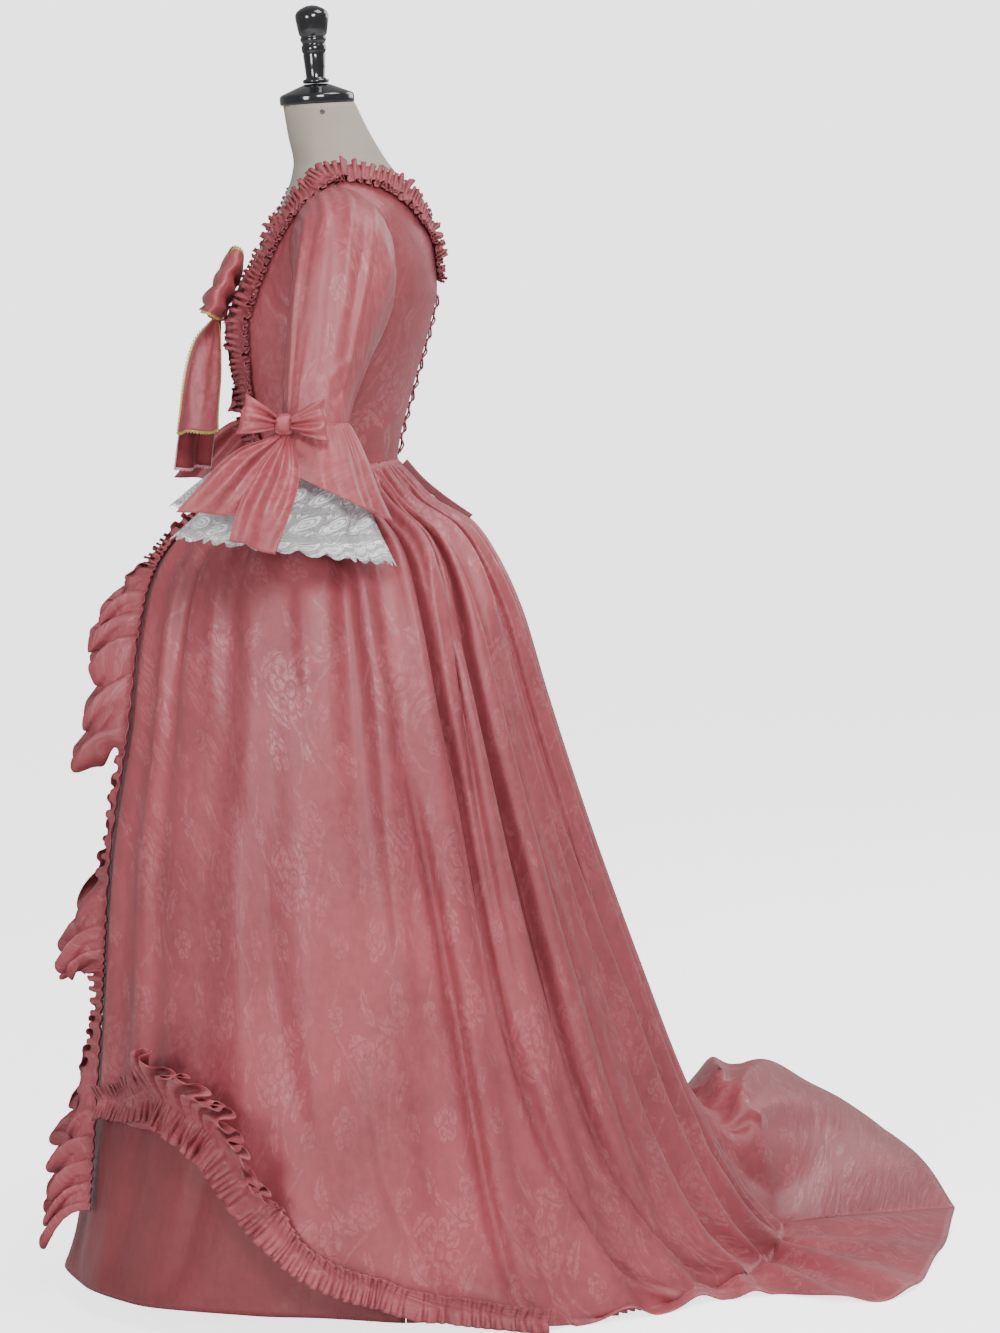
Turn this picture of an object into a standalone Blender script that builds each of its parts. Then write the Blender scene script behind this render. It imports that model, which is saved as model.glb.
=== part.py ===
"""Ball gown with a train, worn by a limbless dress form.

Metres, +Z up. The front faces -Y, the train runs to +Y and the wearer's left is +X.
The origin is on the floor, on the axis of the form's pole.
"""

import math
from collections import namedtuple

import bmesh
import bpy
import numpy as np

# Walls and gaps
CLOTH = 0.0020
RIBBON = 0.0014
LACE = 0.0012
SEAM_GAP = 0.0004
FORM_CLEARANCE = 0.0020
SHOULDER_EASE = 0.0018
SHOULDER_EASE_START = 1.40
SHOULDER_EASE_END = 1.44
SEAM_GAPS_A_SEAM = 1.5
TRIM_LIFT = 0.0010

# Heights above the floor
WAIST = 1.085
BODICE_FOOT = WAIST + SEAM_GAP
STOMACHER_FOOT = BODICE_FOOT - 0.004
STOMACHER_SEAM_TURNS = 2.0
NECKLINE_FRONT = 1.345

# Stand under the form
BASE_RADIUS = 0.19
BASE_HEIGHT = 0.012
POLE_RADIUS = 0.016

# Armhole, an oval on the side of the form
ARMHOLE_Y = 0.010
ARMHOLE_Z = 1.358
ARMHOLE_HALF_DEPTH = 0.058
ARMHOLE_HALF_HEIGHT = 0.084
ARMHOLE_MARGIN = 0.001
# Part of the side edge that is seam, with the armhole above it, and part of the back
# edge that is laced, with the neckline above it
SIDE_SEAM_PART = 0.45
LACED_PART = 0.55

# Mesh divisions
FORM_SIDES = 24
NECK_CAP_SIDES = 20
FINIAL_SIDES = 12
BASE_SIDES = 48
POLE_SIDES = 24
PLEAT_COLUMNS = 3
SKIRT_ROWS = 11
PETTICOAT_ROWS = 7
BODICE_FRONT_COLUMNS = 8
BODICE_BACK_COLUMNS = 6
BODICE_ROWS = 11
STOMACHER_COLUMNS = 6
STOMACHER_ROWS = 8
WAVE_COLUMNS = 3
TRIM_ROWS = 2
SLEEVE_COLUMNS = 21
SLEEVE_ROWS = 7
FLOUNCE_ROWS = 3
CHEST_LOOP_COLUMNS = 12
ELBOW_LOOP_COLUMNS = 10
LOOP_ROWS = 2
TAIL_COLUMNS = 5
TAIL_ROWS = 4
TIE_COLUMNS = 2
TIE_ROWS = 8
KNOT_SIDES = 10
KNOT_ROWS = 6

LEFT = 1.0
RIGHT = -1.0
SIDES = {"left": LEFT, "right": RIGHT}

# Level of the skirt where it meets the floor, and how far the train's rows run past it
FLOOR_LEVEL = 11.0
HIP_LEVEL = 4.0
UPRIGHT_PLEATS_LEVEL = FLOOR_LEVEL - 1.0
LEAST_RUN = 1e-6
EDGE_MARGIN = 0.001
TRAIN_LEVELS = 2.0
TRAIN_START_DEG = 113.0
TRAIN_FULL_DEG = 150.0
# The train is swept to the wearer's right
SWEEP = 0.09
SWEEP_START = 0.42
SWEEP_LENGTH = 0.22

FormRing = namedtuple("FormRing", "height half_width front back")
FORM_RINGS = [
    FormRing(0.800, 0.120, 0.060, 0.080),
    FormRing(0.830, 0.158, 0.082, 0.108),
    FormRing(0.900, 0.172, 0.096, 0.122),
    FormRing(0.970, 0.158, 0.103, 0.110),
    FormRing(1.040, 0.126, 0.103, 0.080),
    FormRing(1.080, 0.111, 0.104, 0.072),
    FormRing(1.115, 0.115, 0.108, 0.077),
    FormRing(1.160, 0.127, 0.117, 0.091),
    FormRing(1.230, 0.144, 0.133, 0.115),
    FormRing(1.270, 0.150, 0.136, 0.128),
    FormRing(1.310, 0.156, 0.122, 0.138),
    FormRing(1.360, 0.163, 0.095, 0.139),
    FormRing(1.400, 0.160, 0.072, 0.131),
    FormRing(1.440, 0.132, 0.050, 0.115),
    FormRing(1.465, 0.096, 0.040, 0.096),
    FormRing(1.485, 0.067, 0.036, 0.083),
    FormRing(1.520, 0.055, 0.041, 0.065),
    FormRing(1.558, 0.050, 0.045, 0.049),
]

# The skirt's rings, one a level; level 11 stands on the floor
SkirtRing = namedtuple("SkirtRing", "height half_width front back")
OVERSKIRT_RINGS = [
    SkirtRing(1.0850, 0.1155, 0.1085, 0.0765),
    SkirtRing(1.062, 0.150, 0.140, 0.091),
    SkirtRing(1.032, 0.198, 0.190, 0.115),
    SkirtRing(0.995, 0.242, 0.236, 0.168),
    SkirtRing(0.950, 0.278, 0.264, 0.195),
    SkirtRing(0.880, 0.304, 0.285, 0.221),
    SkirtRing(0.760, 0.330, 0.307, 0.248),
    SkirtRing(0.600, 0.354, 0.343, 0.288),
    SkirtRing(0.400, 0.380, 0.369, 0.346),
    SkirtRing(0.200, 0.402, 0.396, 0.412),
    SkirtRing(0.060, 0.418, 0.418, 0.482),
    SkirtRing(0.0022, 0.426, 0.432, 0.532),
]
PETTICOAT_RINGS = [
    SkirtRing(1.0720, 0.1161, 0.1072, 0.0770),
    SkirtRing(1.056, 0.136, 0.127, 0.081),
    SkirtRing(1.028, 0.180, 0.172, 0.094),
    SkirtRing(0.990, 0.222, 0.216, 0.138),
    SkirtRing(0.945, 0.256, 0.242, 0.174),
    SkirtRing(0.875, 0.282, 0.263, 0.198),
    SkirtRing(0.755, 0.309, 0.287, 0.230),
    SkirtRing(0.595, 0.334, 0.324, 0.268),
    SkirtRing(0.395, 0.360, 0.352, 0.322),
    SkirtRing(0.200, 0.384, 0.388, 0.382),
    SkirtRing(0.080, 0.392, 0.414, 0.420),
    SkirtRing(0.034, 0.394, 0.428, 0.434),
]

# One row a pleat, from the front edge to the centre back: where its far side lies at the
# waist, at the hip and at the floor, its hem's height, how far it stands out and its skew
Pleat = namedtuple("Pleat", "waist_deg hip_deg foot_deg hem_height ridge skew")
FRONT_EDGE = Pleat(24.0, 12.0, 14.0, 0.255, 0.0, 1.0)
OVERSKIRT_PLEATS = [
    Pleat(36.0, 25.0, 27.0, 0.268, 0.010, 1.3),
    Pleat(48.0, 37.0, 40.0, 0.266, 0.009, 1.5),
    Pleat(60.0, 52.0, 54.0, 0.232, 0.007, 0.8),
    Pleat(71.0, 68.0, 67.0, 0.135, 0.006, 1.2),
    Pleat(81.0, 83.0, 82.0, 0.070, 0.007, 1.0),
    Pleat(92.0, 99.0, 98.0, 0.035, 0.012, 1.6),
    Pleat(103.0, 113.0, 113.0, 0.0022, 0.013, 1.4),
    Pleat(114.0, 124.0, 126.0, 0.0022, 0.015, 1.6),
    Pleat(126.0, 134.0, 138.0, 0.0022, 0.016, 1.5),
    Pleat(138.0, 144.0, 149.0, 0.0022, 0.017, 1.5),
    Pleat(149.0, 153.0, 158.0, 0.0022, 0.016, 1.4),
    Pleat(160.0, 162.0, 166.0, 0.0022, 0.014, 1.2),
    Pleat(170.0, 171.0, 173.0, 0.0022, 0.012, 1.0),
    Pleat(180.0, 180.0, 180.0, 0.0022, 0.010, 1.0),
]
PETTICOAT_PLEATS_A_HALF = 7
PETTICOAT_SEAM_GAP = 3.0 * SEAM_GAP
PETTICOAT_HEM_WAVE = 0.004
# The petticoat hangs lower at the back than at the front
PETTICOAT_FALL = 0.026
PETTICOAT_FALL_LEVELS = 2.0
PETTICOAT_FALL_REACH = 0.22
PetticoatRidge = namedtuple("PetticoatRidge", "level ridge")
PETTICOAT_RIDGES = [
    PetticoatRidge(0.0, 0.0),
    PetticoatRidge(3.0, 0.0025),
    PetticoatRidge(11.0, 0.0080),
]

# How much of a pleat's ridge shows at each level of the skirt
PleatGain = namedtuple("PleatGain", "level gain")
PLEAT_GAIN = [
    PleatGain(0.0, 0.00),
    PleatGain(0.6, 0.25),
    PleatGain(2.0, 0.60),
    PleatGain(5.0, 0.80),
    PleatGain(8.0, 1.00),
    PleatGain(10.5, 1.05),
    PleatGain(13.0, 0.45),
]
# The mesh's rows are closer together at the waist and on the train
RowPlace = namedtuple("RowPlace", "row drop")
ROW_PLACES = [
    RowPlace(0.00, 0.00),
    RowPlace(0.25, 0.22),
    RowPlace(0.50, 0.53),
    RowPlace(0.75, 0.82),
    RowPlace(1.00, 1.00),
]

# Where the cloth ends on the floor, before the sweep; the right half spreads further
TrainEdge = namedtuple("TrainEdge", "foot_deg x y")
LEFT_TRAIN_EDGE = [
    TrainEdge(113.0, 0.400, 0.208),
    TrainEdge(126.0, 0.372, 0.322),
    TrainEdge(138.0, 0.322, 0.412),
    TrainEdge(149.0, 0.330, 0.480),
    TrainEdge(155.0, 0.440, 0.560),
    TrainEdge(159.0, 0.478, 0.610),
    TrainEdge(163.0, 0.440, 0.652),
    TrainEdge(168.0, 0.330, 0.694),
    TrainEdge(174.0, 0.170, 0.745),
    TrainEdge(180.0, 0.000, 0.785),
]
RIGHT_TRAIN_EDGE = [
    TrainEdge(113.0, 0.400, 0.208),
    TrainEdge(126.0, 0.440, 0.330),
    TrainEdge(138.0, 0.540, 0.405),
    TrainEdge(149.0, 0.680, 0.465),
    TrainEdge(155.0, 0.770, 0.525),
    TrainEdge(159.0, 0.800, 0.600),
    TrainEdge(163.0, 0.760, 0.680),
    TrainEdge(168.0, 0.620, 0.745),
    TrainEdge(174.0, 0.340, 0.792),
    TrainEdge(180.0, 0.000, 0.785),
]
# The right half slopes gently from the skirt to its edge: how high it stands off its
# rings at each foot angle, and the share of that at each level
TrainSwell = namedtuple("TrainSwell", "foot_deg height")
TRAIN_SWELL = [
    TrainSwell(113.0, 0.000),
    TrainSwell(126.0, 0.030),
    TrainSwell(138.0, 0.080),
    TrainSwell(149.0, 0.160),
    TrainSwell(156.0, 0.180),
    TrainSwell(163.0, 0.168),
    TrainSwell(170.0, 0.120),
    TrainSwell(176.0, 0.030),
    TrainSwell(180.0, 0.000),
]
SwellShare = namedtuple("SwellShare", "level share")
SWELL_SHARES = [
    SwellShare(0.0, 0.00),
    SwellShare(8.5, 0.00),
    SwellShare(10.0, 0.50),
    SwellShare(11.0, 1.00),
    SwellShare(11.7, 0.88),
    SwellShare(12.4, 0.55),
    SwellShare(13.0, 0.00),
]

# Ring of a sleeve or flounce: its outer and inner points, its front and back, and how
# much higher its front lies than its back
SleeveRing = namedtuple("SleeveRing", "outer_x outer_z inner_x inner_z front back tilt")
SLEEVE_RINGS = [
    SleeveRing(0.196, 1.432, 0.168, 1.258, -0.050, 0.079, 0.000),
    SleeveRing(0.232, 1.404, 0.175, 1.246, -0.053, 0.076, 0.000),
    SleeveRing(0.254, 1.360, 0.182, 1.228, -0.060, 0.064, 0.000),
    SleeveRing(0.268, 1.305, 0.190, 1.205, -0.067, 0.046, 0.000),
    SleeveRing(0.279, 1.250, 0.199, 1.183, -0.072, 0.028, 0.000),
    SleeveRing(0.288, 1.200, 0.207, 1.162, -0.077, 0.012, 0.000),
    SleeveRing(0.296, 1.150, 0.214, 1.140, -0.080, 0.001, 0.000),
]
FLOUNCE_RINGS = [
    SleeveRing(0.2979, 1.1540, 0.2099, 1.1440, -0.0822, 0.0054, 0.000),
    SleeveRing(0.318, 1.122, 0.204, 1.116, -0.106, 0.022, 0.026),
    SleeveRing(0.334, 1.096, 0.206, 1.090, -0.122, 0.034, 0.064),
    SleeveRing(0.344, 1.078, 0.208, 1.072, -0.130, 0.046, 0.098),
]
LACE_RINGS = [
    SleeveRing(0.2960, 1.1484, 0.2140, 1.1384, -0.0800, 0.0010, 0.000),
    SleeveRing(0.310, 1.096, 0.222, 1.092, -0.120, 0.009, 0.010),
    SleeveRing(0.328, 1.046, 0.240, 1.044, -0.174, 0.025, 0.034),
    SleeveRing(0.347, 1.000, 0.266, 0.998, -0.222, 0.045, 0.050),
]
SLEEVE_LAP = 0.0022
SLEEVE_SQUARENESS = 2.3
FLOUNCE_WAVES = 7
FLOUNCE_WAVE_DEPTH = 0.007
LACE_WAVES = 7
LACE_WAVE_DEPTH = 0.006

# The ruffle's line on the bodice: along is 0 at the front waist and 1 at the centre back
RobingPoint = namedtuple("RobingPoint", "along angle_deg height")
ROBING_LINE = [
    RobingPoint(0.00, 17.0, 1.092),
    RobingPoint(0.10, 22.0, 1.160),
    RobingPoint(0.21, 30.0, 1.235),
    RobingPoint(0.30, 33.0, 1.300),
    RobingPoint(0.39, 35.0, 1.360),
    RobingPoint(0.47, 45.0, 1.410),
    RobingPoint(0.54, 70.0, 1.442),
    RobingPoint(0.62, 100.0, 1.459),
    RobingPoint(0.70, 131.0, 1.446),
    RobingPoint(0.78, 152.0, 1.415),
    RobingPoint(0.86, 165.0, 1.382),
    RobingPoint(0.94, 171.0, 1.344),
    RobingPoint(1.00, 175.5, 1.318),
]
SHOULDER_ALONG = 0.62
SHOULDER_SEAM = 0.993
ROBING_WAVES = 18
ROBING_HALF_WIDTH = 0.017
ROBING_RISE = 0.006
ROBING_FRILL = 0.009
# The ruffle narrows over its last part, to this share of its width
ROBING_TAPER_START = 0.93
ROBING_END_WIDTH = 0.25
RUFFLE_LEAN = 0.8
RUFFLE_SPREAD = 0.1
PLACE_STEP = 0.004

# Trim along the opening and the hem: place on the skirt in pleats and in parts of its
# height, half widths to either side of the stitching, how far the edges stand up
TrimPoint = namedtuple("TrimPoint", "along pleat drop outer inner stand_deg frill")
TRIM_FRONT = [
    TrimPoint(0.00, 0.22, 0.240, 0.016, 0.016, 10.0, 0.006),
    TrimPoint(0.12, 0.22, 0.385, 0.012, 0.014, 16.0, 0.005),
    TrimPoint(0.19, 0.22, 0.450, 0.040, 0.016, 42.0, 0.010),
    TrimPoint(0.26, 0.22, 0.540, 0.056, 0.016, 48.0, 0.012),
    TrimPoint(0.33, 0.22, 0.630, 0.050, 0.016, 48.0, 0.012),
    TrimPoint(0.38, 0.22, 0.690, 0.066, 0.016, 48.0, 0.013),
    TrimPoint(0.42, 0.22, 0.722, 0.016, 0.016, 15.0, 0.006),
    TrimPoint(0.50, 0.22, 0.800, 0.020, 0.016, 18.0, 0.007),
    TrimPoint(0.57, 0.22, 0.856, 0.062, 0.016, 48.0, 0.013),
    TrimPoint(0.65, 0.22, 0.888, 0.040, 0.016, 36.0, 0.010),
    TrimPoint(0.73, 0.22, 0.925, 0.020, 0.016, 24.0, 0.007),
    TrimPoint(0.82, 0.22, 0.970, 0.038, 0.016, 32.0, 0.010),
    TrimPoint(0.90, 0.22, 1.020, 0.052, 0.014, 40.0, 0.012),
    TrimPoint(1.00, 0.30, 1.080, 0.060, 0.014, 40.0, 0.014),
]
TRIM_FRONT_WAVES = 17
TRIM_HEM = [
    TrimPoint(0.00, 0.55, 0.975, 0.018, 0.018, 12.0, 0.007),
    TrimPoint(0.10, 1.10, 0.972, 0.018, 0.020, 14.0, 0.007),
    TrimPoint(0.20, 1.75, 0.968, 0.018, 0.034, 24.0, 0.009),
    TrimPoint(0.30, 2.30, 0.962, 0.020, 0.078, 38.0, 0.014),
    TrimPoint(0.40, 2.95, 0.964, 0.020, 0.070, 38.0, 0.014),
    TrimPoint(0.50, 3.55, 0.970, 0.020, 0.026, 20.0, 0.008),
    TrimPoint(0.62, 4.35, 0.976, 0.018, 0.019, 13.0, 0.007),
    TrimPoint(0.80, 5.45, 0.978, 0.018, 0.018, 12.0, 0.007),
    TrimPoint(1.00, 6.75, 0.980, 0.015, 0.017, 12.0, 0.006),
]
TRIM_HEM_WAVES = 18
TRIM_BASE = 0.0034
TRIM_LEAN = 0.6
# A narrow trim lies nearly flat; a wider one is a fan that stands up
NARROW_TRIM = 0.019
NARROW_STAND_DEG = 12.0

# A ribbon's middle line from its knot: place, half width and how much it ripples
RibbonPoint = namedtuple("RibbonPoint", "x y z half_width ripple")
RIPPLES = 1.5
# A bow's loop: its direction, its width's direction, length, half width, puff and how
# far from the knot's middle it starts
BowLoop = namedtuple("BowLoop", "name out up length half_width puff start")
LOOP_NECK_WIDTH = 0.30
LOOP_PUCKER = 0.10
LOOP_PUFF_AT_KNOT = 0.25
LOOP_SPREAD_POWER = 0.8

# Chest bow
CHEST_KNOT = (0.0, -0.1490, 1.303)
CHEST_KNOT_HALF = (0.013, 0.0150, 0.017)
CHEST_LOOP = BowLoop("chest", (1.0, 0.12, 0.34), (-0.30, 0.46, 0.90), 0.100, 0.049, 0.027, 0.0132)
CHEST_TAIL_WIDTH = (0.74, 0.67, 0.0)
CHEST_LONG_TAIL_WIDTH = (0.84, -0.54, 0.0)
CHEST_TAIL = [
    RibbonPoint(0.002, -0.1512, 1.2860, 0.0052, 0.0),
    RibbonPoint(0.022, -0.164, 1.255, 0.030, 0.004),
    RibbonPoint(0.038, -0.175, 1.200, 0.041, 0.005),
    RibbonPoint(0.046, -0.185, 1.143, 0.045, 0.004),
]
CHEST_LONG_TAIL = [
    RibbonPoint(-0.004, -0.1465, 1.2856, 0.0045, 0.0),
    RibbonPoint(-0.024, -0.162, 1.250, 0.024, 0.003),
    RibbonPoint(-0.042, -0.176, 1.180, 0.032, 0.004),
    RibbonPoint(-0.050, -0.194, 1.091, 0.036, 0.004),
]

# Elbow bow, on the sleeve's outer front
ELBOW_KNOT = (0.3110, -0.0790, 1.1570)
ELBOW_KNOT_HALF = (0.0090, 0.0120, 0.0135)
ELBOW_LOOPS = [
    BowLoop("front", (0.20, -1.0, 0.32), (0.0, 0.32, 1.0), 0.055, 0.026, 0.016, 0.0122),
    BowLoop("back", (0.34, 1.0, 0.06), (0.0, -0.06, 1.0), 0.056, 0.027, 0.015, 0.0114),
]
ELBOW_FRONT_TAIL_WIDTH = (0.0, 0.62, -0.78)
ELBOW_LOW_TAIL_WIDTH = (0.0, 0.96, -0.26)
ELBOW_FRONT_TAIL = [
    RibbonPoint(0.3130, -0.0824, 1.1420, 0.0036, 0.0),
    RibbonPoint(0.3548, -0.123, 1.109, 0.028, 0.003),
    RibbonPoint(0.366, -0.152, 1.078, 0.035, 0.003),
    RibbonPoint(0.372, -0.184, 1.048, 0.034, 0.002),
]
ELBOW_LOW_TAIL = [
    RibbonPoint(0.3135, -0.0755, 1.1426, 0.0035, 0.0),
    RibbonPoint(0.360, -0.090, 1.100, 0.028, 0.003),
    RibbonPoint(0.386, -0.112, 1.055, 0.037, 0.003),
    RibbonPoint(0.392, -0.130, 1.010, 0.038, 0.002),
]

# Waist tie at the centre back
TIE = [
    RibbonPoint(0.016, 0.0845, 1.0835, 0.0050, 0.0),
    RibbonPoint(0.022, 0.1035, 1.0590, 0.0050, 0.0),
    RibbonPoint(0.030, 0.1300, 1.0340, 0.0050, 0.0),
    RibbonPoint(0.038, 0.1655, 1.0060, 0.0050, 0.0),
]
TIE_WIDTH = (0.0, 0.72, 0.69)

# Neck cap and finial, turned about the pole's axis
TurnedPoint = namedtuple("TurnedPoint", "radius height")
NECK_CAP_PROFILE = [
    TurnedPoint(0.000, 1.5850),
    TurnedPoint(0.0150, 1.5845),
    TurnedPoint(0.0240, 1.5810),
    TurnedPoint(0.0460, 1.5720),
    TurnedPoint(0.0490, 1.5690),
    TurnedPoint(0.0490, 1.5605),
    TurnedPoint(0.0470, 1.5583),
    TurnedPoint(0.000, 1.5583),
]
FINIAL_PROFILE = [
    TurnedPoint(0.000, 1.6870),
    TurnedPoint(0.0070, 1.6850),
    TurnedPoint(0.0190, 1.6790),
    TurnedPoint(0.0220, 1.6740),
    TurnedPoint(0.0218, 1.6690),
    TurnedPoint(0.0178, 1.6480),
    TurnedPoint(0.0165, 1.6455),
    TurnedPoint(0.0172, 1.6430),
    TurnedPoint(0.0165, 1.6380),
    TurnedPoint(0.0152, 1.6355),
    TurnedPoint(0.0160, 1.6330),
    TurnedPoint(0.0130, 1.6000),
    TurnedPoint(0.0125, 1.5935),
    TurnedPoint(0.0170, 1.5900),
    TurnedPoint(0.0175, 1.5875),
    TurnedPoint(0.0160, 1.5854),
    TurnedPoint(0.000, 1.5854),
]

Finish = namedtuple("Finish", "colour roughness metallic")
FINISHES = {
    "damask": Finish((0.53, 0.16, 0.18), 0.42, 0.0),
    "petticoat": Finish((0.46, 0.14, 0.16), 0.50, 0.0),
    "lace": Finish((0.86, 0.86, 0.88), 0.80, 0.0),
    "linen": Finish((0.62, 0.58, 0.54), 0.85, 0.0),
    "black_gloss": Finish((0.012, 0.012, 0.014), 0.15, 0.0),
    "stand_metal": Finish((0.05, 0.05, 0.055), 0.40, 0.8),
}


def clear_scene():
    """Remove every object that the file starts with."""
    for item in list(bpy.data.objects):
        bpy.data.objects.remove(item, do_unlink=True)


def blend(knots, values, place):
    """Read a smooth curve through rows of values, with no overshoot between rows.

    values has one row a knot; a row holds one number, or one a place.
    """
    knots = np.asarray(knots, float)
    values = np.asarray(values, float)
    place = np.atleast_1d(np.asarray(place, float))
    if values.ndim == 1:
        values = values[:, None]
    values = np.broadcast_to(values, (len(knots), len(place)))
    steps = np.diff(knots)[:, None]
    slopes = np.diff(values, axis=0) / steps
    tangents = np.empty(values.shape)
    tangents[0] = slopes[0]
    tangents[-1] = slopes[-1]
    products = slopes[:-1] * slopes[1:]
    sums = slopes[:-1] + slopes[1:]
    safe_sums = np.where(products > 0, sums, 1.0)
    tangents[1:-1] = np.where(products > 0, 2.0 * products / safe_sums, 0.0)
    index = np.clip(np.searchsorted(knots, place) - 1, 0, len(knots) - 2)
    pick = np.arange(len(place))
    step = steps[index, 0]
    part = np.clip((place - knots[index]) / step, 0.0, 1.0)
    over = place - knots[index] - part * step
    start = values[index, pick]
    end = values[index + 1, pick]
    start_tangent = tangents[index, pick]
    end_tangent = tangents[index + 1, pick]
    square = part * part
    cube = square * part
    inside = (
        (2 * cube - 3 * square + 1) * start
        + (cube - 2 * square + part) * step * start_tangent
        + (3 * square - 2 * cube) * end
        + (cube - square) * step * end_tangent
    )
    return inside + over * np.where(part > 0.5, end_tangent, start_tangent)


def column(table, name):
    """One named column of a table."""
    return [getattr(row, name) for row in table]


def read(table, key, name, place):
    """Read one column of a table smoothly at places along another."""
    return blend(column(table, key), column(table, name), place)


def smooth_step(low, high, value):
    """0 below low, 1 above high, and soft between them."""
    part = np.clip((np.asarray(value, float) - low) / (high - low), 0.0, 1.0)
    return part * part * (3.0 - 2.0 * part)


def ring_point(angle, half_width, front, back, height):
    """A point on an oval ring; angle 0 is the front and grows to the wearer's left."""
    cosine = np.cos(angle)
    depth = np.where(cosine > 0, front, back)
    return np.stack([half_width * np.sin(angle), -depth * cosine, height + 0 * angle], axis=-1)


def form_point(angle, height):
    """A point on the dress form's skin."""
    sizes = [read(FORM_RINGS, "height", name, height) for name in ("half_width", "front", "back")]
    return ring_point(angle, *sizes, height)


def surface_normals(surface, u, v, step=1e-4):
    """Unit normals of a surface, from its two directions."""
    along = surface(u + step, v) - surface(u - step, v)
    across = surface(u, v + step) - surface(u, v - step)
    normals = np.cross(along, across)
    lengths = np.linalg.norm(normals, axis=-1, keepdims=True)
    return normals / np.maximum(lengths, 1e-12)


def on_form(angle, height, distance):
    """A point moved out from the form's skin; the skin's normals point outwards."""
    normals = surface_normals(form_point, angle, height)
    return form_point(angle, height) + normals * np.asarray(distance)[..., None]


def mirrored(points, side):
    """The same points on the wearer's other side."""
    return points * np.array([side, 1.0, 1.0])


def new_object(name, mesh, finish):
    """Link a mesh to the gown's collection with its own material."""
    item = bpy.data.objects.new(name, mesh)
    GOWN.objects.link(item)
    material = bpy.data.materials.new(name + "_" + finish)
    material.use_nodes = True
    shader = material.node_tree.nodes["Principled BSDF"]
    look = FINISHES[finish]
    shader.inputs["Base Color"].default_value = (*look.colour, 1.0)
    shader.inputs["Roughness"].default_value = look.roughness
    shader.inputs["Metallic"].default_value = look.metallic
    material.diffuse_color = (*look.colour, 1.0)
    mesh.materials.append(material)
    return item


def cloth(name, surface, columns, rows, wall, finish, facing=1, tube=False, offset=-1.0):
    """Map a grid onto a surface and give it a wall.

    facing is 1 where the surface's own normal, along u crossed with v, points outwards.
    """
    mesh = bpy.data.meshes.new(name)
    grid = bmesh.new()
    bmesh.ops.create_grid(grid, x_segments=columns, y_segments=rows, size=0.5)
    corners = np.array([vertex.co[:2] for vertex in grid.verts]) + 0.5
    points = surface(corners[:, 0], corners[:, 1])
    for vertex, point in zip(grid.verts, points):
        vertex.co = point
    if tube:
        bmesh.ops.remove_doubles(grid, verts=grid.verts, dist=1e-6)
    if facing < 0:
        bmesh.ops.reverse_faces(grid, faces=grid.faces)
    grid.to_mesh(mesh)
    grid.free()
    item = new_object(name, mesh, finish)
    shell = item.modifiers.new("wall", "SOLIDIFY")
    shell.thickness = wall
    shell.offset = offset
    mesh.shade_smooth()
    return item


def turned(name, profile, sides, finish):
    """A solid turned about the pole's axis from a profile that runs top to bottom."""
    mesh = bpy.data.meshes.new(name)
    outline = bmesh.new()
    corners = [outline.verts.new((point.radius, 0.0, point.height)) for point in profile]
    for start, end in zip(corners, corners[1:]):
        outline.edges.new((start, end))
    outline.to_mesh(mesh)
    outline.free()
    item = new_object(name, mesh, finish)
    screw = item.modifiers.new("turn", "SCREW")
    screw.steps = sides
    screw.render_steps = sides
    screw.use_merge_vertices = True
    screw.merge_threshold = 0.00001
    return item


def build_form():
    """The dress form's body, neck cap and finial."""
    mesh = bpy.data.meshes.new("form_torso")
    body = bmesh.new()
    rows = len(FORM_RINGS) - 1
    bmesh.ops.create_cone(
        body, cap_ends=True, segments=FORM_SIDES, radius1=1.0, radius2=1.0, depth=1.0
    )
    lengthwise = [edge for edge in body.edges if abs(edge.verts[0].co.z - edge.verts[1].co.z) > 0.5]
    bmesh.ops.subdivide_edges(body, edges=lengthwise, cuts=rows - 1)
    levels = np.arange(len(FORM_RINGS))
    for vertex in body.verts:
        angle = math.atan2(vertex.co.x, -vertex.co.y)
        height = blend(levels, column(FORM_RINGS, "height"), (vertex.co.z + 0.5) * levels[-1])
        vertex.co = form_point(np.array([angle]), height)[0]
    body.to_mesh(mesh)
    body.free()
    new_object("form_torso", mesh, "linen")
    turned("form_neck_cap", NECK_CAP_PROFILE, NECK_CAP_SIDES, "black_gloss")
    turned("form_finial", FINIAL_PROFILE, FINIAL_SIDES, "black_gloss")


def build_stand():
    """The pole under the form and its round base."""
    pole_bottom = BASE_HEIGHT + SEAM_GAP
    pole_top = FORM_RINGS[0].height - SEAM_GAP
    for name, radius, low, high, sides in (
        ("form_base", BASE_RADIUS, 0.0, BASE_HEIGHT, BASE_SIDES),
        ("form_pole", POLE_RADIUS, pole_bottom, pole_top, POLE_SIDES),
    ):
        mesh = bpy.data.meshes.new(name)
        rod = bmesh.new()
        bmesh.ops.create_cone(
            rod, cap_ends=True, segments=sides, radius1=radius, radius2=radius, depth=high - low
        )
        rod.to_mesh(mesh)
        rod.free()
        item = new_object(name, mesh, "stand_metal")
        item.location.z = (low + high) / 2


def skirt_radii(rings, level):
    """Height, half width, front and back of a skirt's ring at a level."""
    levels = np.arange(len(rings))
    return [blend(levels, column(rings, name), level) for name in SkirtRing._fields]


def pleat_value(pleats, name, place):
    """Read a column of the pleats' far sides at a place counted in pleats."""
    values = [getattr(FRONT_EDGE, name)] + column(pleats, name)
    return blend(np.arange(len(values)), values, place)


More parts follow.
